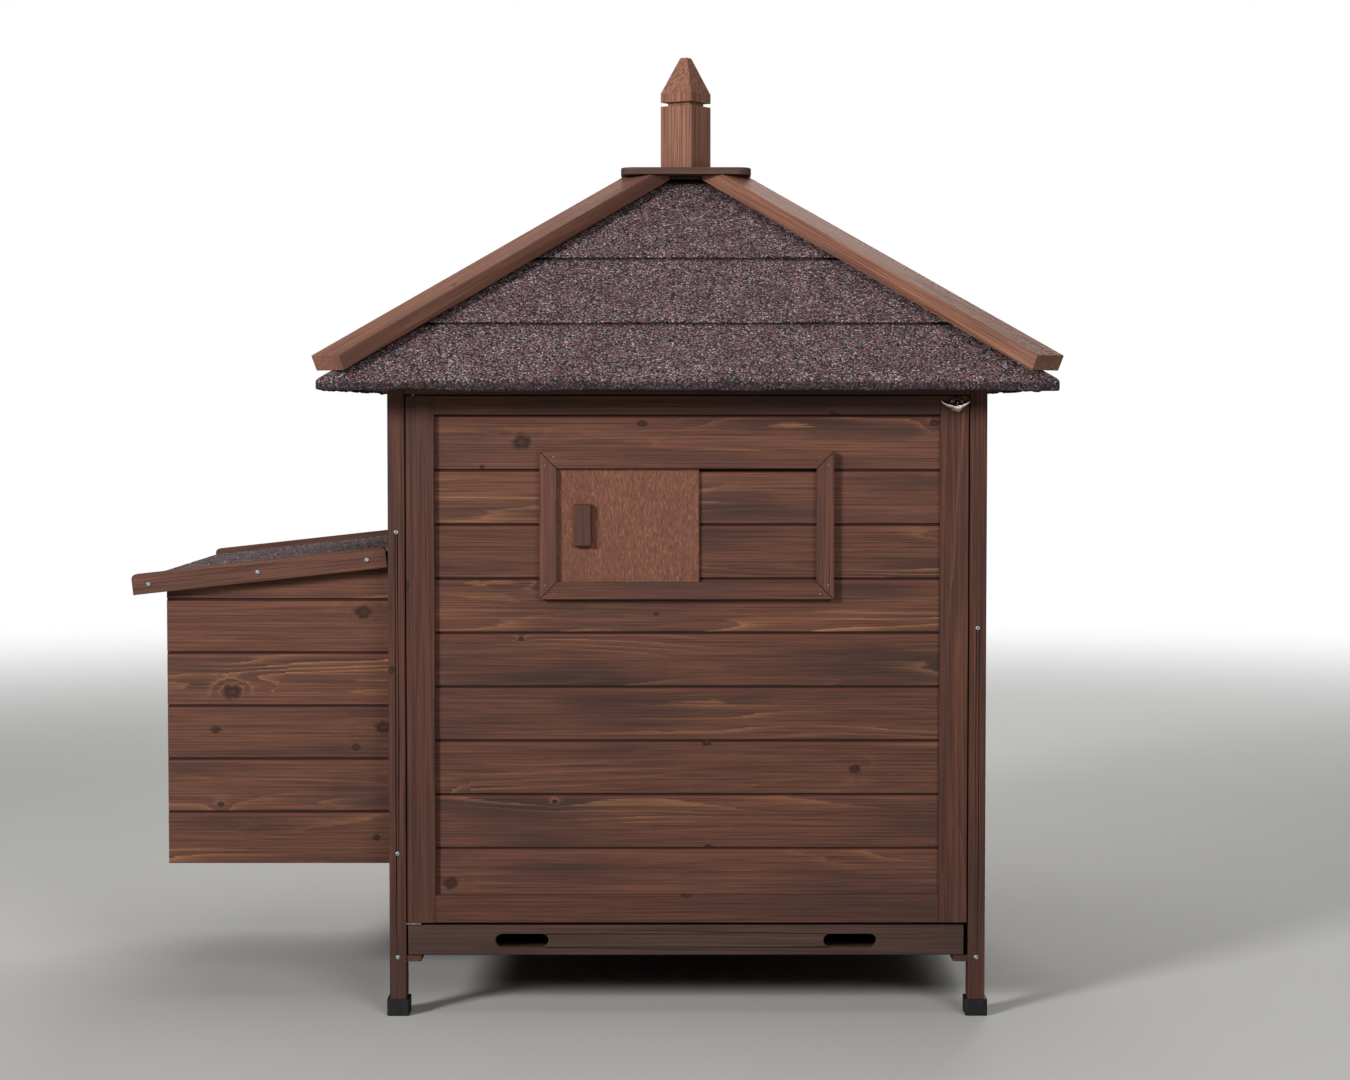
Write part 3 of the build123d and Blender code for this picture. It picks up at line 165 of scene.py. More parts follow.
def grainPlace(tree, grain):
    # along the fibres, across them and into the wood in millimetres, and a number for each timber
    place = addNode(tree, "ShaderNodeTexCoord").outputs["Object"]
    size = addNode(tree, "ShaderNodeVectorMath", {"operation": "SCALE"}, {0: place, "Scale": 1000.0})
    kind = grain["kind"]
    number = 0.0
    if kind == "lid":  # turned into the slope of the lid
        size = addNode(tree, "ShaderNodeVectorRotate", {"rotation_type": "Y_AXIS"},
                       {"Vector": size, "Angle": grain["slope"]})
    x, y, z = addNode(tree, "ShaderNodeSeparateXYZ", {}, {0: size}).outputs
    order = {"x": (x, z, y), "lid": (x, z, y), "y": (y, z, x), "z": (z, x, y)}
    if kind == "hip":  # along the diagonal of each quarter, with the four quarters told apart
        fromX = addNode(tree, "ShaderNodeMath", {"operation": "SUBTRACT"}, {0: x, 1: axisX * 1000})
        fromY = addNode(tree, "ShaderNodeMath", {"operation": "SUBTRACT"}, {0: y, 1: axisY * 1000})
        east = addNode(tree, "ShaderNodeMath", {"operation": "GREATER_THAN"}, {0: fromX, 1: 0.0})
        north = addNode(tree, "ShaderNodeMath", {"operation": "GREATER_THAN"}, {0: fromY, 1: 0.0})
        number = addNode(tree, "ShaderNodeMath", {"operation": "MULTIPLY_ADD"}, {0: north, 1: 2.0, 2: east})
        sideX = addNode(tree, "ShaderNodeMath", {"operation": "ABSOLUTE"}, {0: fromX})
        sideY = addNode(tree, "ShaderNodeMath", {"operation": "ABSOLUTE"}, {0: fromY})
        along = addNode(tree, "ShaderNodeMath", {"operation": "ADD"}, {0: sideX, 1: sideY})
        across = addNode(tree, "ShaderNodeMath", {"operation": "SUBTRACT"}, {0: sideX, 1: sideY})
        across = addNode(tree, "ShaderNodeMath", {"operation": "MULTIPLY"}, {0: across, 1: diagonal})
        deep = addNode(tree, "ShaderNodeMath", {"operation": "MULTIPLY_ADD"},
                       {0: along, 1: grain["fall"], 2: z})
        along = addNode(tree, "ShaderNodeMath", {"operation": "MULTIPLY"}, {0: along, 1: diagonal})
    elif kind == "frame":  # upright members past the mitres, level ones between them
        fromX = addNode(tree, "ShaderNodeMath", {"operation": "SUBTRACT"}, {0: x, 1: grain["middle"][0]})
        fromZ = addNode(tree, "ShaderNodeMath", {"operation": "SUBTRACT"}, {0: z, 1: grain["middle"][1]})
        sideX = addNode(tree, "ShaderNodeMath", {"operation": "ABSOLUTE"}, {0: fromX})
        sideZ = addNode(tree, "ShaderNodeMath", {"operation": "ABSOLUTE"}, {0: fromZ})
        sideZ = addNode(tree, "ShaderNodeMath", {"operation": "ADD"}, {0: sideZ, 1: grain["longer"]})
        upright = addNode(tree, "ShaderNodeMath", {"operation": "GREATER_THAN"}, {0: sideX, 1: sideZ})
        above = addNode(tree, "ShaderNodeMath", {"operation": "GREATER_THAN"}, {0: fromZ, 1: 0.0})
        onRight = addNode(tree, "ShaderNodeMath", {"operation": "GREATER_THAN"}, {0: fromX, 1: 0.0})
        onRight = addNode(tree, "ShaderNodeMath", {"operation": "ADD"}, {0: onRight, 1: 2.0})
        number = addNode(tree, "ShaderNodeMix", {"data_type": "FLOAT"}, {0: upright, 2: above, 3: onRight})
        along = addNode(tree, "ShaderNodeMix", {"data_type": "FLOAT"}, {0: upright, 2: x, 3: z})
        across = addNode(tree, "ShaderNodeMix", {"data_type": "FLOAT"}, {0: upright, 2: z, 3: x})
        deep = y
    else:
        along, across, deep = order[kind]
    inBoard, inMitre = None, None
    if kind == "frame":
        inMitre = addNode(tree, "ShaderNodeMath", {"operation": "SUBTRACT"}, {0: sideX, 1: sideZ})
        inMitre = addNode(tree, "ShaderNodeMath", {"operation": "ABSOLUTE"}, {0: inMitre})
    if "seam" in grain:  # boards are counted from a joint, and each is its own piece of wood
        seam = grain["seam"]
        if "above" in grain:
            over = addNode(tree, "ShaderNodeMath", {"operation": "GREATER_THAN"},
                           {0: across, 1: grain["above"]})
            seam = addNode(tree, "ShaderNodeMix", {"data_type": "FLOAT"},
                           {0: over, 2: seam, 3: grain["upperSeam"]})
        level = addNode(tree, "ShaderNodeMath", {"operation": "SUBTRACT"}, {0: across, 1: seam})
        level = addNode(tree, "ShaderNodeMath", {"operation": "DIVIDE"}, {0: level, 1: grain["pitch"]})
        number = addNode(tree, "ShaderNodeMath", {"operation": "FLOOR"}, {0: level})
        share = addNode(tree, "ShaderNodeMath", {"operation": "FRACT"}, {0: level})
        inBoard = addNode(tree, "ShaderNodeMath", {"operation": "MULTIPLY"}, {0: share, 1: grain["pitch"]})
    number = addNode(tree, "ShaderNodeMath", {"operation": "ADD"}, {0: number, 1: grain.get("seed", 0.0)})
    shift = addNode(tree, "ShaderNodeCombineXYZ", {}, {0: 737.0, 1: 219.0, 2: 97.0})
    shift = addNode(tree, "ShaderNodeVectorMath", {"operation": "SCALE"}, {0: shift, "Scale": number})
    spot = addNode(tree, "ShaderNodeCombineXYZ", {}, {0: along, 1: across, 2: deep})
    spot = addNode(tree, "ShaderNodeVectorMath", {"operation": "ADD"}, {0: spot, 1: shift})
    return spot, across, number, inBoard, inMitre


def stainedTimber(name, colours, grain, lines, knots, knotWidth):
    material, tree, output = newMaterial(name)
    spot, across, number, inBoard, inMitre = grainPlace(tree, grain)
    # growth rings: height lines of a slow noise, much longer along the grain than across it
    flame = addNode(tree, "ShaderNodeVectorMath", {"operation": "MULTIPLY"}, {
        0: spot, 1: (1 / timber["flameLength"], 1 / timber["flameWidth"], 1 / timber["flameWidth"])})
    flame = addNode(tree, "ShaderNodeTexNoise", {},
                    {"Vector": flame, "Scale": 1.0, "Detail": 2.0, "Roughness": 0.45})
    field = addNode(tree, "ShaderNodeMath", {"operation": "MULTIPLY_ADD"},
                    {0: flame, 1: timber["ringDrift"], 2: 0.0})
    field = addNode(tree, "ShaderNodeMath", {"operation": "MULTIPLY_ADD"},
                    {0: across, 1: timber["ringLean"], 2: field})
    # knots: one in some cells, a little longer along the grain, with the rings pushed out round it
    cell = (1 / timber["knotGap"], 1 / knotWidth, 0.0)
    cells = addNode(tree, "ShaderNodeVectorMath", {"operation": "MULTIPLY"}, {0: spot, 1: cell})
    nearest = addNode(tree, "ShaderNodeTexVoronoi", {"voronoi_dimensions": "2D"},
                      {"Vector": cells, "Scale": 1.0, "Randomness": 0.75})
    away = addNode(tree, "ShaderNodeVectorMath", {"operation": "SUBTRACT"},
                   {0: cells, 1: nearest.outputs["Position"]})
    away = addNode(tree, "ShaderNodeVectorMath", {"operation": "MULTIPLY"},
                   {0: away, 1: (timber["knotGap"] / 1.35, knotWidth, 0.0)})
    away = addNode(tree, "ShaderNodeVectorMath", {"operation": "LENGTH"}, {0: away}).outputs["Value"]
    draw = addNode(tree, "ShaderNodeSeparateColor", {}, {0: nearest.outputs["Color"]})
    knotSize = addNode(tree, "ShaderNodeMapRange", {},
                       {0: draw, 1: 0.45, 2: 1.0, 3: 0.4, 4: 0.4 + timber["knotSize"] * knots})
    ratio = addNode(tree, "ShaderNodeMath", {"operation": "DIVIDE"}, {0: away, 1: knotSize})
    wobble = addNode(tree, "ShaderNodeTexNoise", {},
                     {"Vector": spot, "Scale": 0.11, "Detail": 3.0, "Roughness": 0.6})
    wobble = addNode(tree, "ShaderNodeMath", {"operation": "MULTIPLY_ADD"}, {0: wobble, 1: 1.5, 2: -0.75})
    ratio = addNode(tree, "ShaderNodeMath", {"operation": "ADD"}, {0: ratio, 1: wobble})
    push = addNode(tree, "ShaderNodeMath", {"operation": "MULTIPLY"}, {0: ratio, 1: ratio})
    push = addNode(tree, "ShaderNodeMath", {"operation": "MULTIPLY_ADD"}, {0: push, 1: 0.22, 2: 1.0})
    push = addNode(tree, "ShaderNodeMath", {"operation": "DIVIDE"}, {0: knotSize, 1: push})
    field = addNode(tree, "ShaderNodeMath", {"operation": "MULTIPLY_ADD"},
                    {0: push, 1: timber["knotPush"], 2: field})
    fine = addNode(tree, "ShaderNodeVectorMath", {"operation": "MULTIPLY"}, {
        0: spot, 1: (1 / timber["fibreLength"], 1 / timber["fibre"], 1 / timber["fibre"])})
    fibre = addNode(tree, "ShaderNodeTexNoise", {},
                    {"Vector": fine, "Scale": 1.0, "Detail": 5.0, "Roughness": 0.7})
    field = addNode(tree, "ShaderNodeMath", {"operation": "MULTIPLY_ADD"},
                    {0: fibre, 1: timber["ragged"], 2: field})
    phase = addNode(tree, "ShaderNodeMath", {"operation": "DIVIDE"}, {0: field, 1: timber["ring"]})
    phase = addNode(tree, "ShaderNodeMath", {"operation": "FRACT"}, {0: phase})
    lateWood = addNode(tree, "ShaderNodeMath", {"operation": "POWER"}, {0: phase, 1: timber["lateSharp"]})
    # slow changes: where the lines are strong, and where the stain lies thick and grey
    broad = addNode(tree, "ShaderNodeVectorMath", {"operation": "MULTIPLY"}, {
        0: spot, 1: (1 / timber["patch"], 1 / timber["patchWidth"], 1 / timber["patchWidth"])})
    patch = addNode(tree, "ShaderNodeTexNoise", {"noise_dimensions": "4D"},
                    {"Vector": broad, "W": 3.0, "Scale": 1.0, "Detail": 3.0, "Roughness": 0.5})
    strong = addNode(tree, "ShaderNodeTexNoise", {"noise_dimensions": "4D"},
                     {"Vector": broad, "W": 9.0, "Scale": 0.8, "Detail": 1.0, "Roughness": 0.5})
    grey = addNode(tree, "ShaderNodeMapRange", {}, {0: patch, 1: 0.46, 2: 0.68, 3: 0.0, 4: 0.85})
    strong = addNode(tree, "ShaderNodeMapRange", {},
                     {0: strong, 1: 0.52, 2: 0.74, 3: 0.05 * lines, 4: 0.8 * lines})
    paleAmount = addNode(tree, "ShaderNodeMath", {"operation": "MULTIPLY"}, {0: lateWood, 1: strong})
    tone = addNode(tree, "ShaderNodeMapRange", {}, {0: fibre, 1: 0.38, 2: 0.60, 3: 0.0, 4: 1.0})
    colour = addNode(tree, "ShaderNodeMix", {"data_type": "RGBA"},
                     {0: tone, 6: linear(colours["dark"]), 7: linear(colours["base"])}).outputs[2]
    layers = [(grey, "grey"), (paleAmount, "pale")]
    if inBoard is not None:  # lighter and redder under each board's upper edge, from wear together with a painted highlight of the lit bevel, and painted shade darkening the bevel's joint
        # wear with a painted highlight: a lighter, redder band just under each board's bevel
        wornHighlight = addNode(tree, "ShaderNodeMapRange", {},
                       {0: inBoard, 1: grain["pitch"] - 11.0, 2: grain["pitch"] - 6.0,
                                                        3: 0.0, 4: 0.35})
        # painted shade: the joint under each board's bevel darkened with the knot colour
        jointShade = addNode(tree, "ShaderNodeMapRange", {},
                       {0: inBoard, 1: grain["pitch"] - 5.8, 2: grain["pitch"] - 4.0,
                                                        3: 0.0, 4: 0.9})
        layers += [(wornHighlight, "wornHighlight"), (jointShade, "knot")]
    if inMitre is not None:  # the open joint across each corner
        joint = addNode(tree, "ShaderNodeMapRange", {}, {0: inMitre, 1: 1.6, 2: 0.5, 3: 0.0, 4: 0.85})
        layers.append((joint, "knot"))
    # each knot: a dark rim, a red-brown heart
    rim = addNode(tree, "ShaderNodeMapRange", {}, {0: ratio, 1: 1.5, 2: 0.8, 3: 0.0, 4: 0.88})
    heart = addNode(tree, "ShaderNodeMapRange", {}, {0: ratio, 1: 0.75, 2: 0.25, 3: 0.0, 4: 0.6})
    seen = addNode(tree, "ShaderNodeMapRange", {}, {0: knotSize, 1: 1.2, 2: 2.4, 3: 0.0, 4: 1.0})
    rim = addNode(tree, "ShaderNodeMath", {"operation": "MULTIPLY"}, {0: rim, 1: seen})
    heart = addNode(tree, "ShaderNodeMath", {"operation": "MULTIPLY"}, {0: heart, 1: seen})
    for amount, layer in layers + [(rim, "knot"), (heart, "heart")]:
        colour = addNode(tree, "ShaderNodeMix", {"data_type": "RGBA"},
                         {0: amount, 6: colour, 7: linear(colours[layer])}).outputs[2]
    shade = addNode(tree, "ShaderNodeTexWhiteNoise", {"noise_dimensions": "1D"}, {"W": number})
    shade = addNode(tree, "ShaderNodeMapRange", {}, {0: shade, 3: 0.86, 4: 1.12})
    colour = addNode(tree, "ShaderNodeHueSaturation", {}, {"Color": colour, "Value": shade})
    rough = addNode(tree, "ShaderNodeMapRange", {}, {0: fibre, 1: 0.3, 2: 0.7, 3: 0.74, 4: 0.56})
    relief = addNode(tree, "ShaderNodeMath", {"operation": "MULTIPLY_ADD"}, {0: lateWood, 1: 0.35, 2: fibre})
    relief = addNode(tree, "ShaderNodeMath", {"operation": "MULTIPLY_ADD"}, {0: rim, 1: -0.5, 2: relief})
    bump = addNode(tree, "ShaderNodeBump", {}, {"Strength": 0.55, "Distance": 0.0007, "Height": relief})
    shader = addNode(tree, "ShaderNodeBsdfPrincipled", {}, {
        "Base Color": colour, "Roughness": rough, "Normal": bump, "IOR": 1.48, "Specular IOR Level": 0.25})
    tree.links.new(shader.outputs[0], output.inputs[0])
    return material


# worn is the lighter, redder band under each board's bevel, wear together with a painted highlight; knot
# also colours the painted shade in the board joints
brown = {"dark": "482e25", "base": "6e4535", "pale": "b57f58", "grey": "3a2824", "wornHighlight": "84463a",
         "knot": "22140f", "heart": "4f2d1f"}
frameBrown = {"dark": "3c251d", "base": "5e392c", "pale": "8a5a42", "grey": "3b2a26", "wornHighlight": "6e4736",
              "knot": "241612", "heart": "4a2c20"}
windowBrown = {**frameBrown, "dark": "4a2e25", "base": "714637", "grey": "4a342d"}
roofBrown = {"dark": "613b2e", "base": "9d6e59", "pale": "c09079", "grey": "6e4c40", "wornHighlight": "a97b65",
             "knot": "3f261e", "heart": "744834"}

pitch = 88.9    # mm, what one cladding board covers
rebate = 12.0    # mm, from the door's top to its first joint
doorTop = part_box("door_boards")[1].z * 1000
sideLow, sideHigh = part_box("right_wall_boards")
seams = {
    "door": doorTop - rebate,
    "sideLower": sideLow.z * 1000, "sideUpper": sideHigh.z * 1000,
    "nest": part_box("nest_end_walls")[0].z * 1000,
}
middleRail = 640.0  # mm, the rail that parts the right wall's boards
windowLow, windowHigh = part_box("window_frame")
windowMiddle = (windowLow + windowHigh) / 2 * 1000
windowHalf = (windowHigh - windowLow) / 2 * 1000
feltLow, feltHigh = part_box("roof_felt")


near = 0.5 * mm    # points as close as this to an edge are on it


# the highest point of a sloping part, and the higher of its points furthest to the left
def topCorners(name):
    co = np.array([v.co for v in nodes[name].data.vertices])
    highest = co[co[:, 2].argmax()]
    outer = co[co[:, 0] < co[:, 0].min() + near]
    return highest, outer[outer[:, 2].argmax()]


lidStart, lidTip = topCorners("lid_felt")
lidSlope = math.atan2(lidStart[2] - lidTip[2], lidStart[0] - lidTip[0])
roofHalf = (feltHigh.x - feltLow.x) / 2
feltPoints = np.array([v.co for v in nodes["roof_felt"].data.vertices]) - (axisX, axisY, 0)
feltReach = np.abs(feltPoints[:, :2]).max(1)
sheetIn = feltReach.min()
eaveZ = feltPoints[feltReach > roofHalf - near, 2].max()
slope = (feltHigh.z - eaveZ) / (roofHalf - sheetIn)

# each finish: its colours, how its grain runs, how strong its lines and knots are, how far apart its knots
# stand across the grain in mm, and the parts that it dresses
timbers = {
    "stainedSpruceBoards": (brown, {"kind": "x", "seam": seams["door"], "pitch": pitch, "seed": 4.0},
                            1.0, 1.0, pitch, ["door_boards"]),
    "stainedSpruceRear": (brown, {"kind": "x", "seam": seams["sideUpper"], "pitch": pitch, "seed": 31.0},
                          1.0, 1.0, pitch, ["rear_wall_boards"]),
    "stainedSpruceSides": (brown, {"kind": "y", "seam": seams["sideLower"], "pitch": pitch, "seed": 52.0,
                                   "above": middleRail, "upperSeam": seams["sideUpper"]},
                           1.0, 1.0, pitch, ["left_wall_boards", "right_wall_boards"]),
    "stainedSpruceNest": (brown, {"kind": "x", "seam": seams["nest"], "pitch": pitch, "seed": 71.0},
                          1.0, 1.0, pitch, ["nest_end_walls"]),
    "stainedSpruceNestOuter": (brown, {"kind": "y", "seam": seams["nest"], "pitch": pitch, "seed": 83.0},
                               1.0, 1.0, pitch, ["nest_outer_wall"]),
    "stainedSpruceUprights": (frameBrown, {"kind": "z", "seed": 5.0}, 0.4, 0.5, 150.0, [
        "leg_front_left", "leg_front_right", "leg_rear_left", "leg_rear_right", "nest_posts",
        "pop_door_guides"]),
    "stainedSpruceStiles": (frameBrown, {"kind": "z", "seed": 9.0}, 0.5, 0.6, 150.0, [
        "door_left_stile", "door_right_stile", "door_stop"]),
    "stainedSpruceRails": (frameBrown, {"kind": "x", "seed": 15.0}, 0.5, 0.7, 120.0, [
        "door_rails", "cross_rails", "perches", "tray_back", "ramp_sill", "ramp_cleats", "pop_door_handle"]),
    "stainedSpruceSideRails": (frameBrown, {"kind": "y", "seed": 19.0}, 0.5, 0.7, 120.0, [
        "side_rails", "tray_runners", "tray_sides", "perch_supports", "ramp_board"]),
    "stainedSpruceWindowFrame": (windowBrown, {
        "kind": "frame", "seed": 23.0, "middle": (windowMiddle.x, windowMiddle.z),
        "longer": windowHalf.x - windowHalf.z}, 0.5, 0.3, 200.0, ["window_frame"]),
    "stainedSpruceTray": ({**frameBrown, "base": "543a31", "dark": "372a27"}, {"kind": "x", "seed": 37.0},
                          0.3, 0.3, 120.0, ["tray_front"]),
    "stainedSpruceFascias": ({**windowBrown, "base": "7b4f3e"},
                             {"kind": "lid", "slope": lidSlope, "seed": 41.0},
                             0.5, 0.5, 90.0, ["lid_fascias"]),
    "paleStainedSpruceBattens": (roofBrown, {
        "kind": "hip", "fall": diagonal * slope / math.sqrt(2), "seed": 47.0},
        0.6, 0.4, 200.0, ["hip_battens", "roof_rafters"]),
    "paleStainedSpruceCap": ({**roofBrown, "base": "61453a", "dark": "452f27", "grey": "4a3630"},
                             {"kind": "x", "seed": 61.0}, 0.5, 0.4, 200.0, ["roof_cap_plate"]),
    "paleStainedSpruceFinial": (roofBrown, {"kind": "z", "seed": 67.0}, 0.6, 0.3, 200.0, ["finial"]),
    "stainedSpruceHandle": (windowBrown, {"kind": "z", "seed": 91.0}, 0.4, 0.2, 90.0, ["shutter_handle"]),
}
for name, (colours, grain, lines, knots, knotWidth, parts) in timbers.items():
    dress(stainedTimber(name, colours, grain, lines, knots, knotWidth), *parts)
print("timber finishes made")


# rotary-cut veneer, stained red-brown, whose pores show as short dark and pale flecks; sizes in mm
plySheet = {"fleck": 1.9, "fleckLength": 9.0, "cloud": 60.0}


def plywood(name, kind, seed, base="7f5140", dark="5a3829", pale="a06e54"):
    material, tree, output = newMaterial(name)
    spot = grainPlace(tree, {"kind": kind, "seed": seed})[0]
    fine = addNode(tree, "ShaderNodeVectorMath", {"operation": "MULTIPLY"}, {
        0: spot, 1: (1 / plySheet["fleckLength"], 1 / plySheet["fleck"], 1 / plySheet["fleck"])})
    fleck = addNode(tree, "ShaderNodeTexNoise", {},
                    {"Vector": fine, "Scale": 1.0, "Detail": 2.0, "Roughness": 0.7})
    slow = addNode(tree, "ShaderNodeVectorMath", {"operation": "MULTIPLY"}, {
        0: spot, 1: (0.3 / plySheet["cloud"], 1 / plySheet["cloud"], 1 / plySheet["cloud"])})
    cloud = addNode(tree, "ShaderNodeTexNoise", {},
                    {"Vector": slow, "Scale": 1.0, "Detail": 3.0, "Roughness": 0.6})
    tone = addNode(tree, "ShaderNodeMapRange", {}, {0: fleck, 1: 0.3, 2: 0.62, 3: 0.0, 4: 1.0})
    light = addNode(tree, "ShaderNodeMapRange", {}, {0: fleck, 1: 0.58, 2: 0.75, 3: 0.0, 4: 0.8})
    cloudy = addNode(tree, "ShaderNodeMapRange", {}, {0: cloud, 1: 0.4, 2: 0.7, 3: 0.0, 4: 0.5})
    colour = linear(dark)
    for amount, layer in ((tone, base), (light, pale), (cloudy, dark)):
        colour = addNode(tree, "ShaderNodeMix", {"data_type": "RGBA"},
                         {0: amount, 6: colour, 7: linear(layer)}).outputs[2]
    bump = addNode(tree, "ShaderNodeBump", {}, {"Strength": 0.4, "Distance": 0.0005, "Height": fleck})
    rough = addNode(tree, "ShaderNodeMapRange", {}, {0: cloud, 3: 0.78, 4: 0.6})
    shader = addNode(tree, "ShaderNodeBsdfPrincipled", {}, {
        "Base Color": colour, "Roughness": rough, "Normal": bump, "IOR": 1.48, "Specular IOR Level": 0.3})
    tree.links.new(shader.outputs[0], output.inputs[0])
    return material


dress(plywood("stainedPlywoodUpright", "z", 11.0), "shutter_panel", "pop_door")
dress(plywood("stainedPlywoodLevel", "y", 13.0, "6a4537", "4a3026", "80573f"), "nest_floor",
      "nest_partitions", "tray_floor")
dress(plywood("stainedPlywoodDeck", "x", 17.0, "553a30", "3a2822", "6a4a3a"), "roof_deck", "lid_panel")
print("plywood finishes made")


# bitumen sheet faced with crushed mineral, a mix of charcoal, mauve, pink and pale grit;
# real grit is 1 to 1.5 mm, drawn coarser so that it shows
grit = {
    "size": 2.4, "lidSize": 3.2, "patch": 45.0,    # mm
    "mix": ((0.0, "1c1a1c"), (0.2, "352d2d"), (0.38, "56494c"), (0.54, "776467"), (0.7, "94656a"),
            (0.8, "824443"), (0.87, "9a8d90"), (0.965, "c4bab8")),    # where each shade starts, of 1
    # the last colour is painted shade for the lip folded down over the eave
    "between": "1f1b1c", "lipShade": "1c1718",
}


def mineralFelt(name, size):
    material, tree, output = newMaterial(name)
    place = addNode(tree, "ShaderNodeTexCoord").outputs["Object"]
    chips = addNode(tree, "ShaderNodeTexVoronoi", {},
                    {"Vector": place, "Scale": 1000 / size, "Randomness": 1.0})
    draw = addNode(tree, "ShaderNodeSeparateColor", {}, {0: chips.outputs["Color"]})
    cloud = addNode(tree, "ShaderNodeTexNoise", {},
                    {"Vector": place, "Scale": 1000 / grit["patch"], "Detail": 3.0,
                                                     "Roughness": 0.6})
    lean = addNode(tree, "ShaderNodeMapRange", {}, {0: cloud, 1: 0.3, 2: 0.7, 3: -0.05, 4: 0.05})
    pick = addNode(tree, "ShaderNodeMath", {"operation": "ADD"}, {0: draw.outputs[0], 1: lean})
    ramp = addNode(tree, "ShaderNodeValToRGB", {}, {0: pick})
    stops = ramp.color_ramp
    stops.interpolation = "CONSTANT"
    mix = grit["mix"]
    stops.elements[0].color = linear(mix[0][1])
    stops.elements[1].position, stops.elements[1].color = mix[1][0], linear(mix[1][1])
    for position, shade in mix[2:]:
        stops.elements.new(position).color = linear(shade)
    between = addNode(tree, "ShaderNodeMapRange", {},
                      {0: chips.outputs["Distance"], 1: 0.35, 2: 0.75, 3: 0.0, 4: 0.55})
    colour = addNode(tree, "ShaderNodeMix", {"data_type": "RGBA"},
                     {0: between, 6: ramp, 7: linear(grit["between"])}).outputs[2]
    # painted shade: the sheet darkened where it is folded down over the eave, since that downward-facing lip
    # falls in shade
    level = addNode(tree, "ShaderNodeSeparateXYZ", {}, {0: place}).outputs[2]
    # painted shade, growing from the eave down the folded lip
    lipShade = addNode(tree, "ShaderNodeMapRange", {},
                     {0: level, 1: eaveZ + 0.001, 2: eaveZ - 0.007, 3: 0.0, 4: 0.72})
    onRoof = addNode(tree, "ShaderNodeMath", {"operation": "GREATER_THAN"}, {0: level, 1: feltLow.z - 0.01})
    lipShade = addNode(tree, "ShaderNodeMath", {"operation": "MULTIPLY"}, {0: lipShade, 1: onRoof})
    colour = addNode(tree, "ShaderNodeMix", {"data_type": "RGBA"},
                     {0: lipShade, 6: colour, 7: linear(grit["lipShade"])}).outputs[2]
    height = addNode(tree, "ShaderNodeMath", {"operation": "MULTIPLY"},
                     {0: chips.outputs["Distance"], 1: -1.0})
    bump = addNode(tree, "ShaderNodeBump", {}, {"Strength": 0.8, "Distance": 0.0012, "Height": height})
    rough = addNode(tree, "ShaderNodeMapRange", {}, {0: draw.outputs[1], 3: 0.95, 4: 0.7})
    shader = addNode(tree, "ShaderNodeBsdfPrincipled", {}, {
        "Base Color": colour, "Roughness": rough, "Normal": bump, "IOR": 1.5, "Specular IOR Level": 0.25})
    tree.links.new(shader.outputs[0], output.inputs[0])
    return material


feltMaterial = mineralFelt("mineralRoofingFelt", grit["size"])
lidFelt = mineralFelt("mineralLidFelt", grit["lidSize"])

roof = {
    # how far in from the eave each course starts, and its thickness
    "laps": (0.1476, 0.3228), "step": 2.6 * mm,
    # radii of the fold over the eave and of the lip's lower edge
    "roll": 10 * mm, "tuck": 3.5 * mm,
    "waveOut": 1.3 * mm, "waveDown": 2.4 * mm, "foldOut": 3.0 * mm, "corner": 9 * mm,
    "outMost": 4.5 * mm, "upMost": 3.5 * mm, "downMost": 3 * mm, "lapWave": 0.9 * mm,
    "foldAt": 0.965, "foldWidth": 0.02,              # of half a side
    "backing": 4 * mm, "columns": 150, "cornerColumns": 8,
}


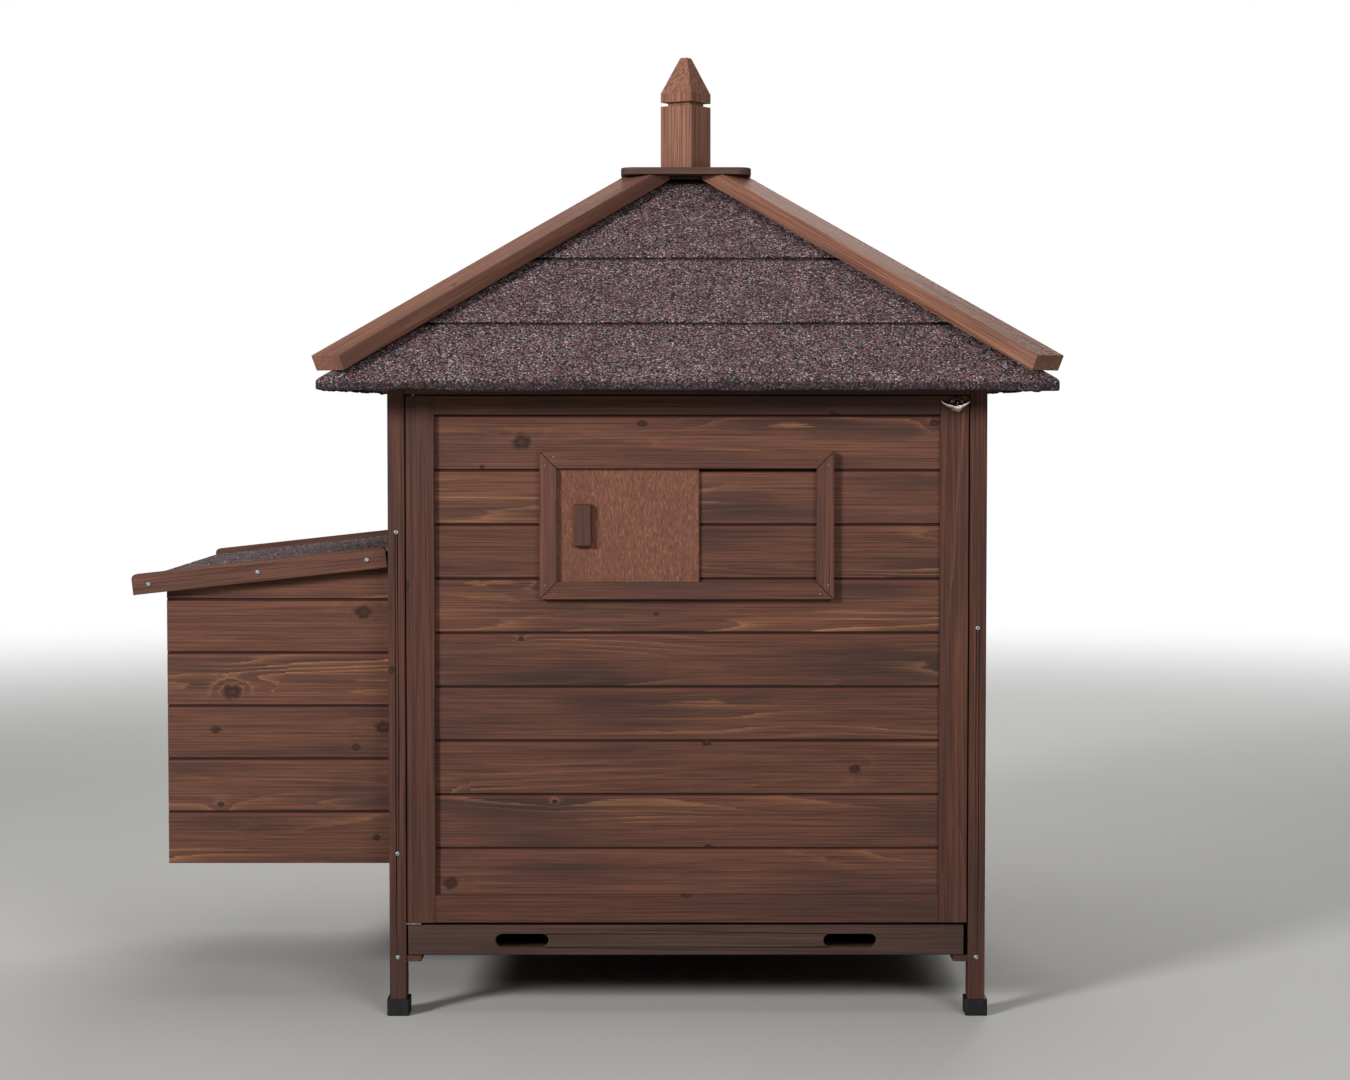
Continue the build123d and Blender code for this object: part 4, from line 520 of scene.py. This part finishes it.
def roofSheet():
    # A profile of distance from the roof's axis against height is carried round a square with rounded
    # corners.
    # The profile climbs from the lip round the eave's roll and up the pitch, a little lower towards the top
    # of each course, and comes back down the underside.
    pitchAngle = math.atan(slope)
    apexZ = eaveZ + slope * roofHalf
    lip = eaveZ - feltLow.z
    rollIn = roofHalf - roof["roll"]
    rollZ = apexZ - slope * rollIn - roof["roll"] / math.cos(pitchAngle)
    turn = np.linspace(0, math.pi / 2 - pitchAngle, 9)
    rolled = np.stack([rollIn + roof["roll"] * np.cos(turn), rollZ + roof["roll"] * np.sin(turn)], 1)
    tuckTurn = np.linspace(-math.pi / 2, 0, 6)
    tuckIn = roofHalf - roof["tuck"]
    tucked = np.stack([tuckIn + roof["tuck"] * np.cos(tuckTurn),
                       feltLow.z + roof["tuck"] * (1 + np.sin(tuckTurn))], 1)
    face = np.stack([np.full(3, roofHalf), np.linspace(tucked[-1, 1], rolled[0, 1], 5)[1:-1]], 1)
    edges = [rolled[-1, 0]] + [roofHalf - lap for lap in roof["laps"]] + [sheetIn]
    courses = []
    for lower, upper in zip(edges, edges[1:]):
        away = np.linspace(lower, upper + 0.0002, 14)
        sink = roof["step"] * (lower - away) / (lower - upper)
        if lower != edges[0]:  # the course's rounded lower edge stands on the course below
            away = np.concatenate([[lower + 0.0004, lower + 0.0004], away])
            sink = np.concatenate([[roof["step"], 0.0007], sink])
        courses.append(np.stack([away, apexZ - slope * away - sink], 1))
    under = roof["backing"] / math.cos(pitchAngle)
    inside = roofHalf - roof["backing"]
    back = np.array([[sheetIn, apexZ - slope * sheetIn - under], [inside, apexZ - slope * inside - under],
                     [inside, feltLow.z + roof["tuck"]]])
    profile = np.concatenate([tucked, face, rolled, *courses, back])
    lipWeight = np.clip((eaveZ + 0.004 - profile[:, 1]) / lip, 0, 1) * (profile[:, 0] > inside - 0.001)
    # the path: four straight runs and four quarter turns
    run = np.linspace(-1, 1, roof["columns"])
    arc = np.linspace(0, math.pi / 2, roof["cornerColumns"] + 2)[1:-1]
    rings = []
    for side in range(4):
        cos, sin = round(math.cos(side * math.pi / 2)), round(math.sin(side * math.pi / 2))
        reach = profile[:, :1]
        cornerRadius = np.clip((reach - 0.5 * roofHalf) / (0.5 * roofHalf), 0.05, 1) * roof["corner"]
        straight = reach - cornerRadius
        acrossRun = straight * run
        s = np.broadcast_to(acrossRun[-1], acrossRun.shape)
        nearCorner = np.exp(-((np.abs(run) - roof["foldAt"]) / roof["foldWidth"]) ** 2)
        out = roof["waveOut"] * wander(s, 5 + side, 0.045, 0.5) + roof["foldOut"] * nearCorner
        down = roof["waveDown"] * wander(s, 15 + side, 0.06, 0.4)
        weight = lipWeight[:, None]
        outRun = reach + np.minimum(out, roof["outMost"]) * weight
        height = profile[:, 1:] + np.clip(down, -roof["downMost"], roof["upMost"]) * weight
        lapWave = roof["lapWave"] * wander(s, 25 + side, 0.05, 0.6) * (profile[:, :1] < rollIn)
        outRun = outRun + lapWave
        height = height - slope * lapWave
        arcOut = straight + cornerRadius * np.cos(arc)
        arcAcross = straight + cornerRadius * np.sin(arc)
        arcHeight = np.repeat(height[:, -1:], len(arc), 1)
        outAll = np.concatenate([outRun, arcOut], 1)
        acrossAll = np.concatenate([acrossRun, arcAcross], 1)
        heightAll = np.concatenate([height, arcHeight], 1)
        x = axisX + cos * outAll - sin * acrossAll
        y = axisY + sin * outAll + cos * acrossAll
        rings.append(np.stack([x, y, heightAll], -1))
    return np.concatenate(rings, 1)


roofPiece = surface("roofFeltSheet", [roofSheet()], feltMaterial, closedAlong=True, closedAcross=True)
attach(roofPiece, "house")
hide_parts("roof_felt")

lidSheet = {"thickness": 3 * mm, "roll": 6 * mm, "wave": 0.8 * mm, "columns": 300, "rows": 132,
            "clear": 0.3 * mm,
            "grit": 0.7 * mm}


def lidFeltSheet():
    # a profile that runs down the lid, folds over its low edge and comes back underneath, carried
    # across the lid
    low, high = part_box("lid_felt")
    length = math.hypot(lidStart[0] - lidTip[0], lidStart[2] - lidTip[2])
    down = np.array([-math.cos(lidSlope), -math.sin(lidSlope)])
    up = np.array([-math.sin(lidSlope), math.cos(lidSlope)])
    drop = (lidTip[2] - low.z) * math.cos(lidSlope)
    thickness, roll = lidSheet["thickness"], lidSheet["roll"]
    turn = np.linspace(math.pi / 2, 0, 8)
    top = np.stack([np.linspace(0, length - roll, lidSheet["rows"])[:-1], np.zeros(lidSheet["rows"] - 1)], 1)
    outer = np.stack([length - roll + roll * np.cos(turn), -roll + roll * np.sin(turn)], 1)
    inner = np.stack([length - roll + (roll - thickness) * np.cos(turn[::-1]),
                      -roll + (roll - thickness) * np.sin(turn[::-1])], 1)
    ends = np.array([[length, -drop + 0.0006], [length - 0.0006, -drop], [length - thickness, -drop]])
    under = np.stack([np.linspace(length - roll, 0, 12), np.full(12, -thickness)], 1)
    profile = np.concatenate([top, outer, ends, inner, under[1:]])
    y = np.linspace(low.y + lidSheet["clear"], high.y - lidSheet["clear"], lidSheet["columns"])[:, None]
    tipWeight = np.clip((profile[:, 0] - length + 0.03) / 0.03, 0, 1)
    ripple = lidSheet["wave"] * wander(y, 40, 0.05, 0.5) * tipWeight
    along = profile[:, 0] - np.abs(ripple)
    height = profile[:, 1] - 0.3 * np.abs(ripple)
    # coarse grit stands up from the top as an uneven height at every point, seeded
    grains = np.random.default_rng(12).uniform(-1, 0.15, (len(y), len(profile))) * lidSheet["grit"]
    height = height + grains * (np.arange(len(profile)) < len(top) + len(outer))
    x = lidStart[0] + along * down[0] + height * up[0]
    z = lidStart[2] + along * down[1] + height * up[1]
    return np.stack([x, np.broadcast_to(y, x.shape), z], -1)


lidPiece = surface("lidFeltSheet", [lidFeltSheet()], lidFelt, closedAcross=True, capped=True, smooth=False)
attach(lidPiece, "nest_lid")
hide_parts("lid_felt")
print("felt sheets made")


def metal(name, shades, roughness, grain, seed, strength=0.15):
    # plated steel: a metal whose coat is slightly uneven in tone and in polish
    material, tree, output = newMaterial(name)
    place = addNode(tree, "ShaderNodeTexCoord").outputs["Object"]
    cloud = addNode(tree, "ShaderNodeTexNoise", {"noise_dimensions": "4D"},
                    {"Vector": place, "W": seed, "Scale": 1000 / grain, "Detail": 4.0, "Roughness": 0.6})
    colour = addNode(tree, "ShaderNodeMix", {"data_type": "RGBA"},
                     {0: cloud, 6: linear(shades[0]), 7: linear(shades[1])}).outputs[2]
    rough = addNode(tree, "ShaderNodeMapRange", {},
                    {0: cloud, 1: 0.3, 2: 0.7, 3: roughness[0], 4: roughness[1]})
    bump = addNode(tree, "ShaderNodeBump", {}, {"Strength": strength, "Distance": 0.0003, "Height": cloud})
    shader = addNode(tree, "ShaderNodeBsdfPrincipled", {}, {
        "Base Color": colour, "Metallic": 1.0, "Roughness": rough, "Normal": bump})
    tree.links.new(shader.outputs[0], output.inputs[0])
    return material


zinc = metal("zincPlatedSteel", ("7f8892", "b6bfc8"), (0.34, 0.55), 3.0, 2.0)
nickel = metal("polishedNickelPlate", ("d9cdc4", "f2e9e2"), (0.10, 0.2), 6.0, 5.0, 0.06)

moulded = {"roughness": 0.42, "orangePeel": 0.9, "colour": "0f0f10", "dust": "2b2928"}    # peel in mm


def mouldedPlastic(name):
    # black polypropylene from a mould: nearly black, a soft gloss broken up by a fine orange-peel
    # texture and dust
    material, tree, output = newMaterial(name)
    place = addNode(tree, "ShaderNodeTexCoord").outputs["Object"]
    peel = addNode(tree, "ShaderNodeTexNoise", {},
                   {"Vector": place, "Scale": 1000 / moulded["orangePeel"], "Detail": 2.0})
    dust = addNode(tree, "ShaderNodeTexNoise", {},
                   {"Vector": place, "Scale": 90.0, "Detail": 4.0, "Roughness": 0.7})
    dusty = addNode(tree, "ShaderNodeMapRange", {}, {0: dust, 1: 0.5, 2: 0.8, 3: 0.0, 4: 0.5})
    colour = addNode(tree, "ShaderNodeMix", {"data_type": "RGBA"},
                     {0: dusty, 6: linear(moulded["colour"]), 7: linear(moulded["dust"])}).outputs[2]
    rough = addNode(tree, "ShaderNodeMapRange", {},
                    {0: dust, 3: moulded["roughness"] - 0.1, 4: moulded["roughness"] + 0.2})
    bump = addNode(tree, "ShaderNodeBump", {}, {"Strength": 0.25, "Distance": 0.0002, "Height": peel})
    shader = addNode(tree, "ShaderNodeBsdfPrincipled", {}, {
        "Base Color": colour, "Roughness": rough, "Normal": bump, "IOR": 1.49})
    tree.links.new(shader.outputs[0], output.inputs[0])
    return material


dress(mouldedPlastic("mouldedPolypropylene"), "foot_caps")
dress(zinc, "finial_bolt", "door_pivot_bracket", "door_pivot_pins", "hinge_wall_leaves", "hinge_pins",
      "lid_hinge_leaves", "ramp_hinge_leaves", "latch_cam")
print("metal and plastic finishes made")


# screws: pan heads with a cross recess, one for each packed screw
panHead = {"radius": 4.0 * mm, "height": 2.3 * mm, "slotHalf": 0.75 * mm, "slotReach": 2.6 * mm,
           "slotDepth": 1.3 * mm, "sunk": 1.2 * mm, "rows": 14, "columns": 48}


def headGrid(centre, normal, size=1.0, turn=0.0, head=panHead):
    # height over a disc: a dome that falls to the rim, less a cross-shaped recess with sloping walls
    share = np.linspace(0, 1, head["rows"])[:, None]
    angle = np.linspace(0, 2 * np.pi, head["columns"], endpoint=False)[None, :]
    radius = head["radius"] * size * np.sin(share * np.pi / 2)
    x, y = radius * np.cos(angle + turn), radius * np.sin(angle + turn)
    fall = 1 - (radius / (head["radius"] * size * 1.02)) ** 2
    dome = head["height"] * size * np.sqrt(np.clip(fall, 0, 1)) ** 0.7
    u, v = radius * np.cos(angle), radius * np.sin(angle)
    arm = np.minimum(np.abs(u), np.abs(v))
    slot = np.clip((head["slotHalf"] * size - arm) / (0.35 * head["slotHalf"] * size), 0, 1)
    slot = slot * np.clip((head["slotReach"] * size - radius) / (0.4 * head["slotReach"] * size), 0, 1)
    height = dome - head["slotDepth"] * size * slot
    height = np.vstack([height, np.full_like(height[:1], -head["sunk"])])
    x, y = np.vstack([x, x[-1:]]), np.vstack([y, y[-1:]])
    x, y, height = (np.vstack([part, part[-1:] * flat]) for part, flat in ((x, 0), (y, 0), (height, 1)))
    normal = np.array(normal, float)
    side = np.cross(normal, (0, 0, 1.0) if abs(normal[2]) < 0.9 else (1.0, 0, 0))
    side /= np.linalg.norm(side)
    other = np.cross(normal, side)
    return np.array(centre) + x[..., None] * side + y[..., None] * other + height[..., None] * normal


def screwPlaces(name):
    # one place for each screw: points of the node gathered into clusters a few head widths apart
    co = np.array([v.co for v in nodes[name].data.vertices])
    places = []
    while len(co):
        near = np.hypot(co[:, 0] - co[0, 0], co[:, 2] - co[0, 2]) < 0.012
        for outward in (-1, 1):
            group = co[near & ((co[:, 1] - axisY) * outward > 0)]
            if len(group):
                middle = (group.min(0) + group.max(0)) / 2
                face = group[:, 1].min() if outward < 0 else group[:, 1].max()
                places.append((middle[0], face, middle[2], outward))
        co = co[~near]
    return places


screwTurns = np.random.default_rng(3)
for node, body, label in (("leg_screws", "house", "legScrewHeads"),
                          ("lid_screws", "nest_lid", "lidScrewHeads")):
    grids = [headGrid((x, y - outward * panHead["height"], z), (0, outward, 0), 1.0,
                      screwTurns.uniform(0, 1.5))
             for x, y, z, outward in screwPlaces(node)]
    heads = surface(label, grids, zinc, closedAcross=True)
    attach(heads, body)
    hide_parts(node)
    print(label, len(grids))

# brads at the window frame's mitres
brads = {"radius": 0.9 * mm, "height": 0.25 * mm, "in": 9 * mm, "apart": 14 * mm}
bradHead = {**panHead, "radius": brads["radius"], "height": brads["height"], "slotDepth": 0.0, "rows": 4,
            "columns": 12}
grids = []
for sideX in (-1, 1):
    for sideZ in (-1, 1):
        cornerX = windowLow.x if sideX < 0 else windowHigh.x
        cornerZ = windowLow.z if sideZ < 0 else windowHigh.z
        for alongX, alongZ in ((brads["in"] + brads["apart"], brads["in"]),
                               (brads["in"], brads["in"] + brads["apart"])):
            centre = (cornerX - sideX * alongX, windowLow.y, cornerZ - sideZ * alongZ)
            grids.append(headGrid(centre, (0, -1, 0), head=bradHead))
bradPiece = surface("frameBrads", grids, zinc, closedAcross=True)
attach(bradPiece, "front_door")

# the latch: a winged turn handle on a domed rose; sizes in mm
wing = {"left": 27.0, "right": 21.0, "rows": 56, "columns": 28, "depth": 3.4, "front": 6.2,
        "dip": -4.0, "curl": 8.5, "half": 4.6, "bossAt": 1.0, "bossReach": 6.0, "bossDrop": 5.2,
        "bossOut": 0.8}
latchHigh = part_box("latch_handle")[1]
plateLow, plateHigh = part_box("latch_plate")
latchX, latchZ = (plateLow.x + plateHigh.x) / 2, (plateLow.z + plateHigh.z) / 2


def wingGrid():
    # an oval section carried along a line that dips in the middle and curls up at both tips;
    # a round boss below the middle swells the section downwards
    x = np.linspace(-wing["left"], wing["right"], wing["rows"])[:, None]
    share = np.where(x < 0, -x / wing["left"], x / wing["right"])
    line = wing["dip"] + wing["curl"] * share ** 2.2
    half = wing["half"] * np.sqrt(np.clip(1 - share ** 2.6, 0.004, 1)) ** 0.9 + 0.2
    boss = np.exp(-((x - wing["bossAt"]) / wing["bossReach"]) ** 4)
    angle = np.linspace(0, 2 * np.pi, wing["columns"], endpoint=False)[None, :]
    lower = np.clip(-np.sin(angle), 0, 1)
    z = line + half * np.sin(angle) - wing["bossDrop"] * boss * lower ** 0.8
    depth = wing["depth"] * (0.42 + 0.58 * np.sqrt(np.clip(1 - share ** 2, 0, 1))) + wing["bossOut"] * boss
    y = -wing["front"] + depth * np.cos(angle)
    return np.stack([latchX + (x + 0 * angle) * mm, front + y * mm, latchZ + z * mm], -1)


def turned(profile, columns, centre):
    # radius against distance in front of a point, turned about the Y axis
    angle = np.linspace(0, 2 * np.pi, columns, endpoint=False)
    radius, ahead = profile[:, :1], profile[:, 1:]
    x = centre[0] + radius * np.cos(angle)
    z = centre[2] + radius * np.sin(angle)
    return np.stack([x, np.broadcast_to(centre[1] - ahead, x.shape), z], -1)


spindleBack = (latchHigh.y - front) / mm
spindle = np.array([(4.0, -spindleBack), (4.0, 1.6), (6.5, 2.0), (6.8, 4.2), (6.0, 6.4)]) * mm
centre = (latchX, front, latchZ)
handle = surface("latchWing", [wingGrid(), turned(spindle, 32, centre)], nickel, closedAcross=True,
                 capped=True)
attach(handle, "latch")
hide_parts("latch_handle")
roseProfile = np.array([(4.1, 0.05), (12.6, 0.05), (12.8, 0.5), (12.3, 0.95), (10.6, 1.1), (9.6, 1.35),
                        (6.0, 1.55),
                        (4.1, 1.6)]) * mm
rose = surface("latchRose", [turned(roseProfile, 48, centre)], nickel, closedAlong=True, closedAcross=True)
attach(rose, "front_door")
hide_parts("latch_plate")
print("latch made")

# vent mesh: welded wires
wire = {"radius": 0.7 * mm, "pitch": 12.5 * mm, "columns": 8}
meshLow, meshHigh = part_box("vent_mesh")


def wireGrid(start, end):  # a round wire between two points along X or Z
    start, end = np.array(start), np.array(end)
    angle = np.linspace(0, 2 * np.pi, wire["columns"], endpoint=False)
    side = np.array([0, 0, 1.0]) if end[0] > start[0] else np.array([1.0, 0, 0])
    ring = wire["radius"] * (np.cos(angle)[:, None] * side + np.sin(angle)[:, None] * np.array([0, 1.0, 0]))
    return np.stack([start + ring, end + ring])


wireGrids = []
countX = int((meshHigh.x - meshLow.x - 2 * wire["radius"]) // wire["pitch"])
countZ = int((meshHigh.z - meshLow.z - 2 * wire["radius"]) // wire["pitch"])
for i in range(countX + 1):
    x = (meshLow.x + meshHigh.x) / 2 + (i - countX / 2) * wire["pitch"]
    y = meshLow.y + wire["radius"]
    wireGrids.append(wireGrid((x, y, meshLow.z), (x, y, meshHigh.z)))
for i in range(countZ + 1):
    z = (meshLow.z + meshHigh.z) / 2 + (i - countZ / 2) * wire["pitch"]
    y = meshLow.y + 2.7 * wire["radius"]
    wireGrids.append(wireGrid((meshLow.x, y, z), (meshHigh.x, y, z)))
meshPiece = surface("ventWires", wireGrids, zinc, closedAcross=True, capped=True)
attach(meshPiece, "front_door")
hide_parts("vent_mesh")
print("vent mesh made")

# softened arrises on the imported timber
arris = {"frame": 1.0 * mm, "roof": 1.6 * mm}
for name in ("leg_front_left", "leg_front_right", "leg_rear_left", "leg_rear_right", "door_left_stile",
             "door_right_stile", "window_frame", "lid_fascias", "tray_front", "ramp_board", "ramp_cleats",
             "ramp_sill",
             "pop_door_guides", "side_rails", "cross_rails", "door_rails"):
    bevelEdges(name, arris["frame"])
for name in ("hip_battens", "finial", "roof_cap_plate", "pop_door", "shutter_panel", "perches",
             "perch_supports"):
    bevelEdges(name, arris["roof"])

# floor and light; the floor fades to white between two distances in metres
stage = {"floor": "c6c5c1", "floorCloud": "cac9c6", "reach": 40.0, "sky": 0.05, "bounce": "7d7d7a",
         "fadeFrom": 2.2, "fadeTo": 8.0}
material, tree, output = newMaterial("paintedFloor")
place = addNode(tree, "ShaderNodeTexCoord").outputs["Object"]
cloud = addNode(tree, "ShaderNodeTexNoise", {}, {"Vector": place, "Scale": 2.0, "Detail": 3.0})
colour = addNode(tree, "ShaderNodeMix", {"data_type": "RGBA"},
                 {0: cloud, 6: linear(stage["floor"]), 7: linear(stage["floorCloud"])}).outputs[2]
fromMiddle = addNode(tree, "ShaderNodeVectorMath", {"operation": "LENGTH"}, {0: place}).outputs["Value"]
fade = addNode(tree, "ShaderNodeMapRange", {"interpolation_type": "SMOOTHSTEP"}, {
    0: fromMiddle, 1: stage["fadeFrom"], 2: stage["fadeTo"], 3: 0.0, 4: 1.0})
lit = addNode(tree, "ShaderNodeLightPath").outputs["Is Camera Ray"]
colour = addNode(tree, "ShaderNodeMix", {"data_type": "RGBA"},
                 {0: lit, 6: linear(stage["bounce"]), 7: colour}).outputs[2]
shader = addNode(tree, "ShaderNodeBsdfPrincipled", {}, {"Base Color": colour, "Roughness": 0.9})
glow = addNode(tree, "ShaderNodeEmission", {}, {"Color": (1.0, 1.0, 1.0, 1.0), "Strength": 1.0})
shader = addNode(tree, "ShaderNodeMixShader", {}, {0: fade, 1: shader, 2: glow})
tree.links.new(shader.outputs[0], output.inputs[0])
ring = np.linspace(0, 2 * np.pi, 64, endpoint=False)
radii = np.array([0.0, 3.0, 10.0, stage["reach"]])[:, None]
disc = np.stack([axisX + radii * np.cos(ring), axisY + radii * np.sin(ring), np.full((4, 64), -0.0005)], -1)
floor = surface("floor", [disc], material, closedAcross=True)

lights = {  # place from the house's middle, size in metres, power in watts
    "keyLight": ((-5.2, -6.4, 3.3), 1.6, 560.0),
    "fillLight": ((2.4, -6.8, 3.5), 2.4, 170.0),
    "topLight": ((0.0, -0.4, 4.4), 3.2, 40.0),
    "backLight": ((0.6, 3.8, 3.6), 2.6, 110.0),
}
for name, (place, size, power) in lights.items():
    data = bpy.data.lights.new(name, "AREA")
    data.size, data.energy = size, power
    lamp = bpy.data.objects.new(name, data)
    lamp.location = Vector((axisX, axisY, 0)) + Vector(place)
    lamp.rotation_euler = (Vector((axisX, axisY, 0.7)) - lamp.location).to_track_quat("-Z", "Y").to_euler()
    bpy.context.scene.collection.objects.link(lamp)

world = bpy.data.worlds.new("studio")
world.use_nodes = True
world.node_tree.nodes.clear()
tree = world.node_tree
seen = addNode(tree, "ShaderNodeLightPath").outputs["Is Camera Ray"]
strength = addNode(tree, "ShaderNodeMapRange", {}, {0: seen, 3: stage["sky"], 4: 1.0})
sky = addNode(tree, "ShaderNodeBackground", {}, {"Color": (1.0, 1.0, 1.0, 1.0), "Strength": strength})
addNode(tree, "ShaderNodeOutputWorld", {}, {"Surface": sky})
bpy.context.scene.world = world
bpy.context.scene.view_settings.view_transform = "Standard"
print("floor and lights made")
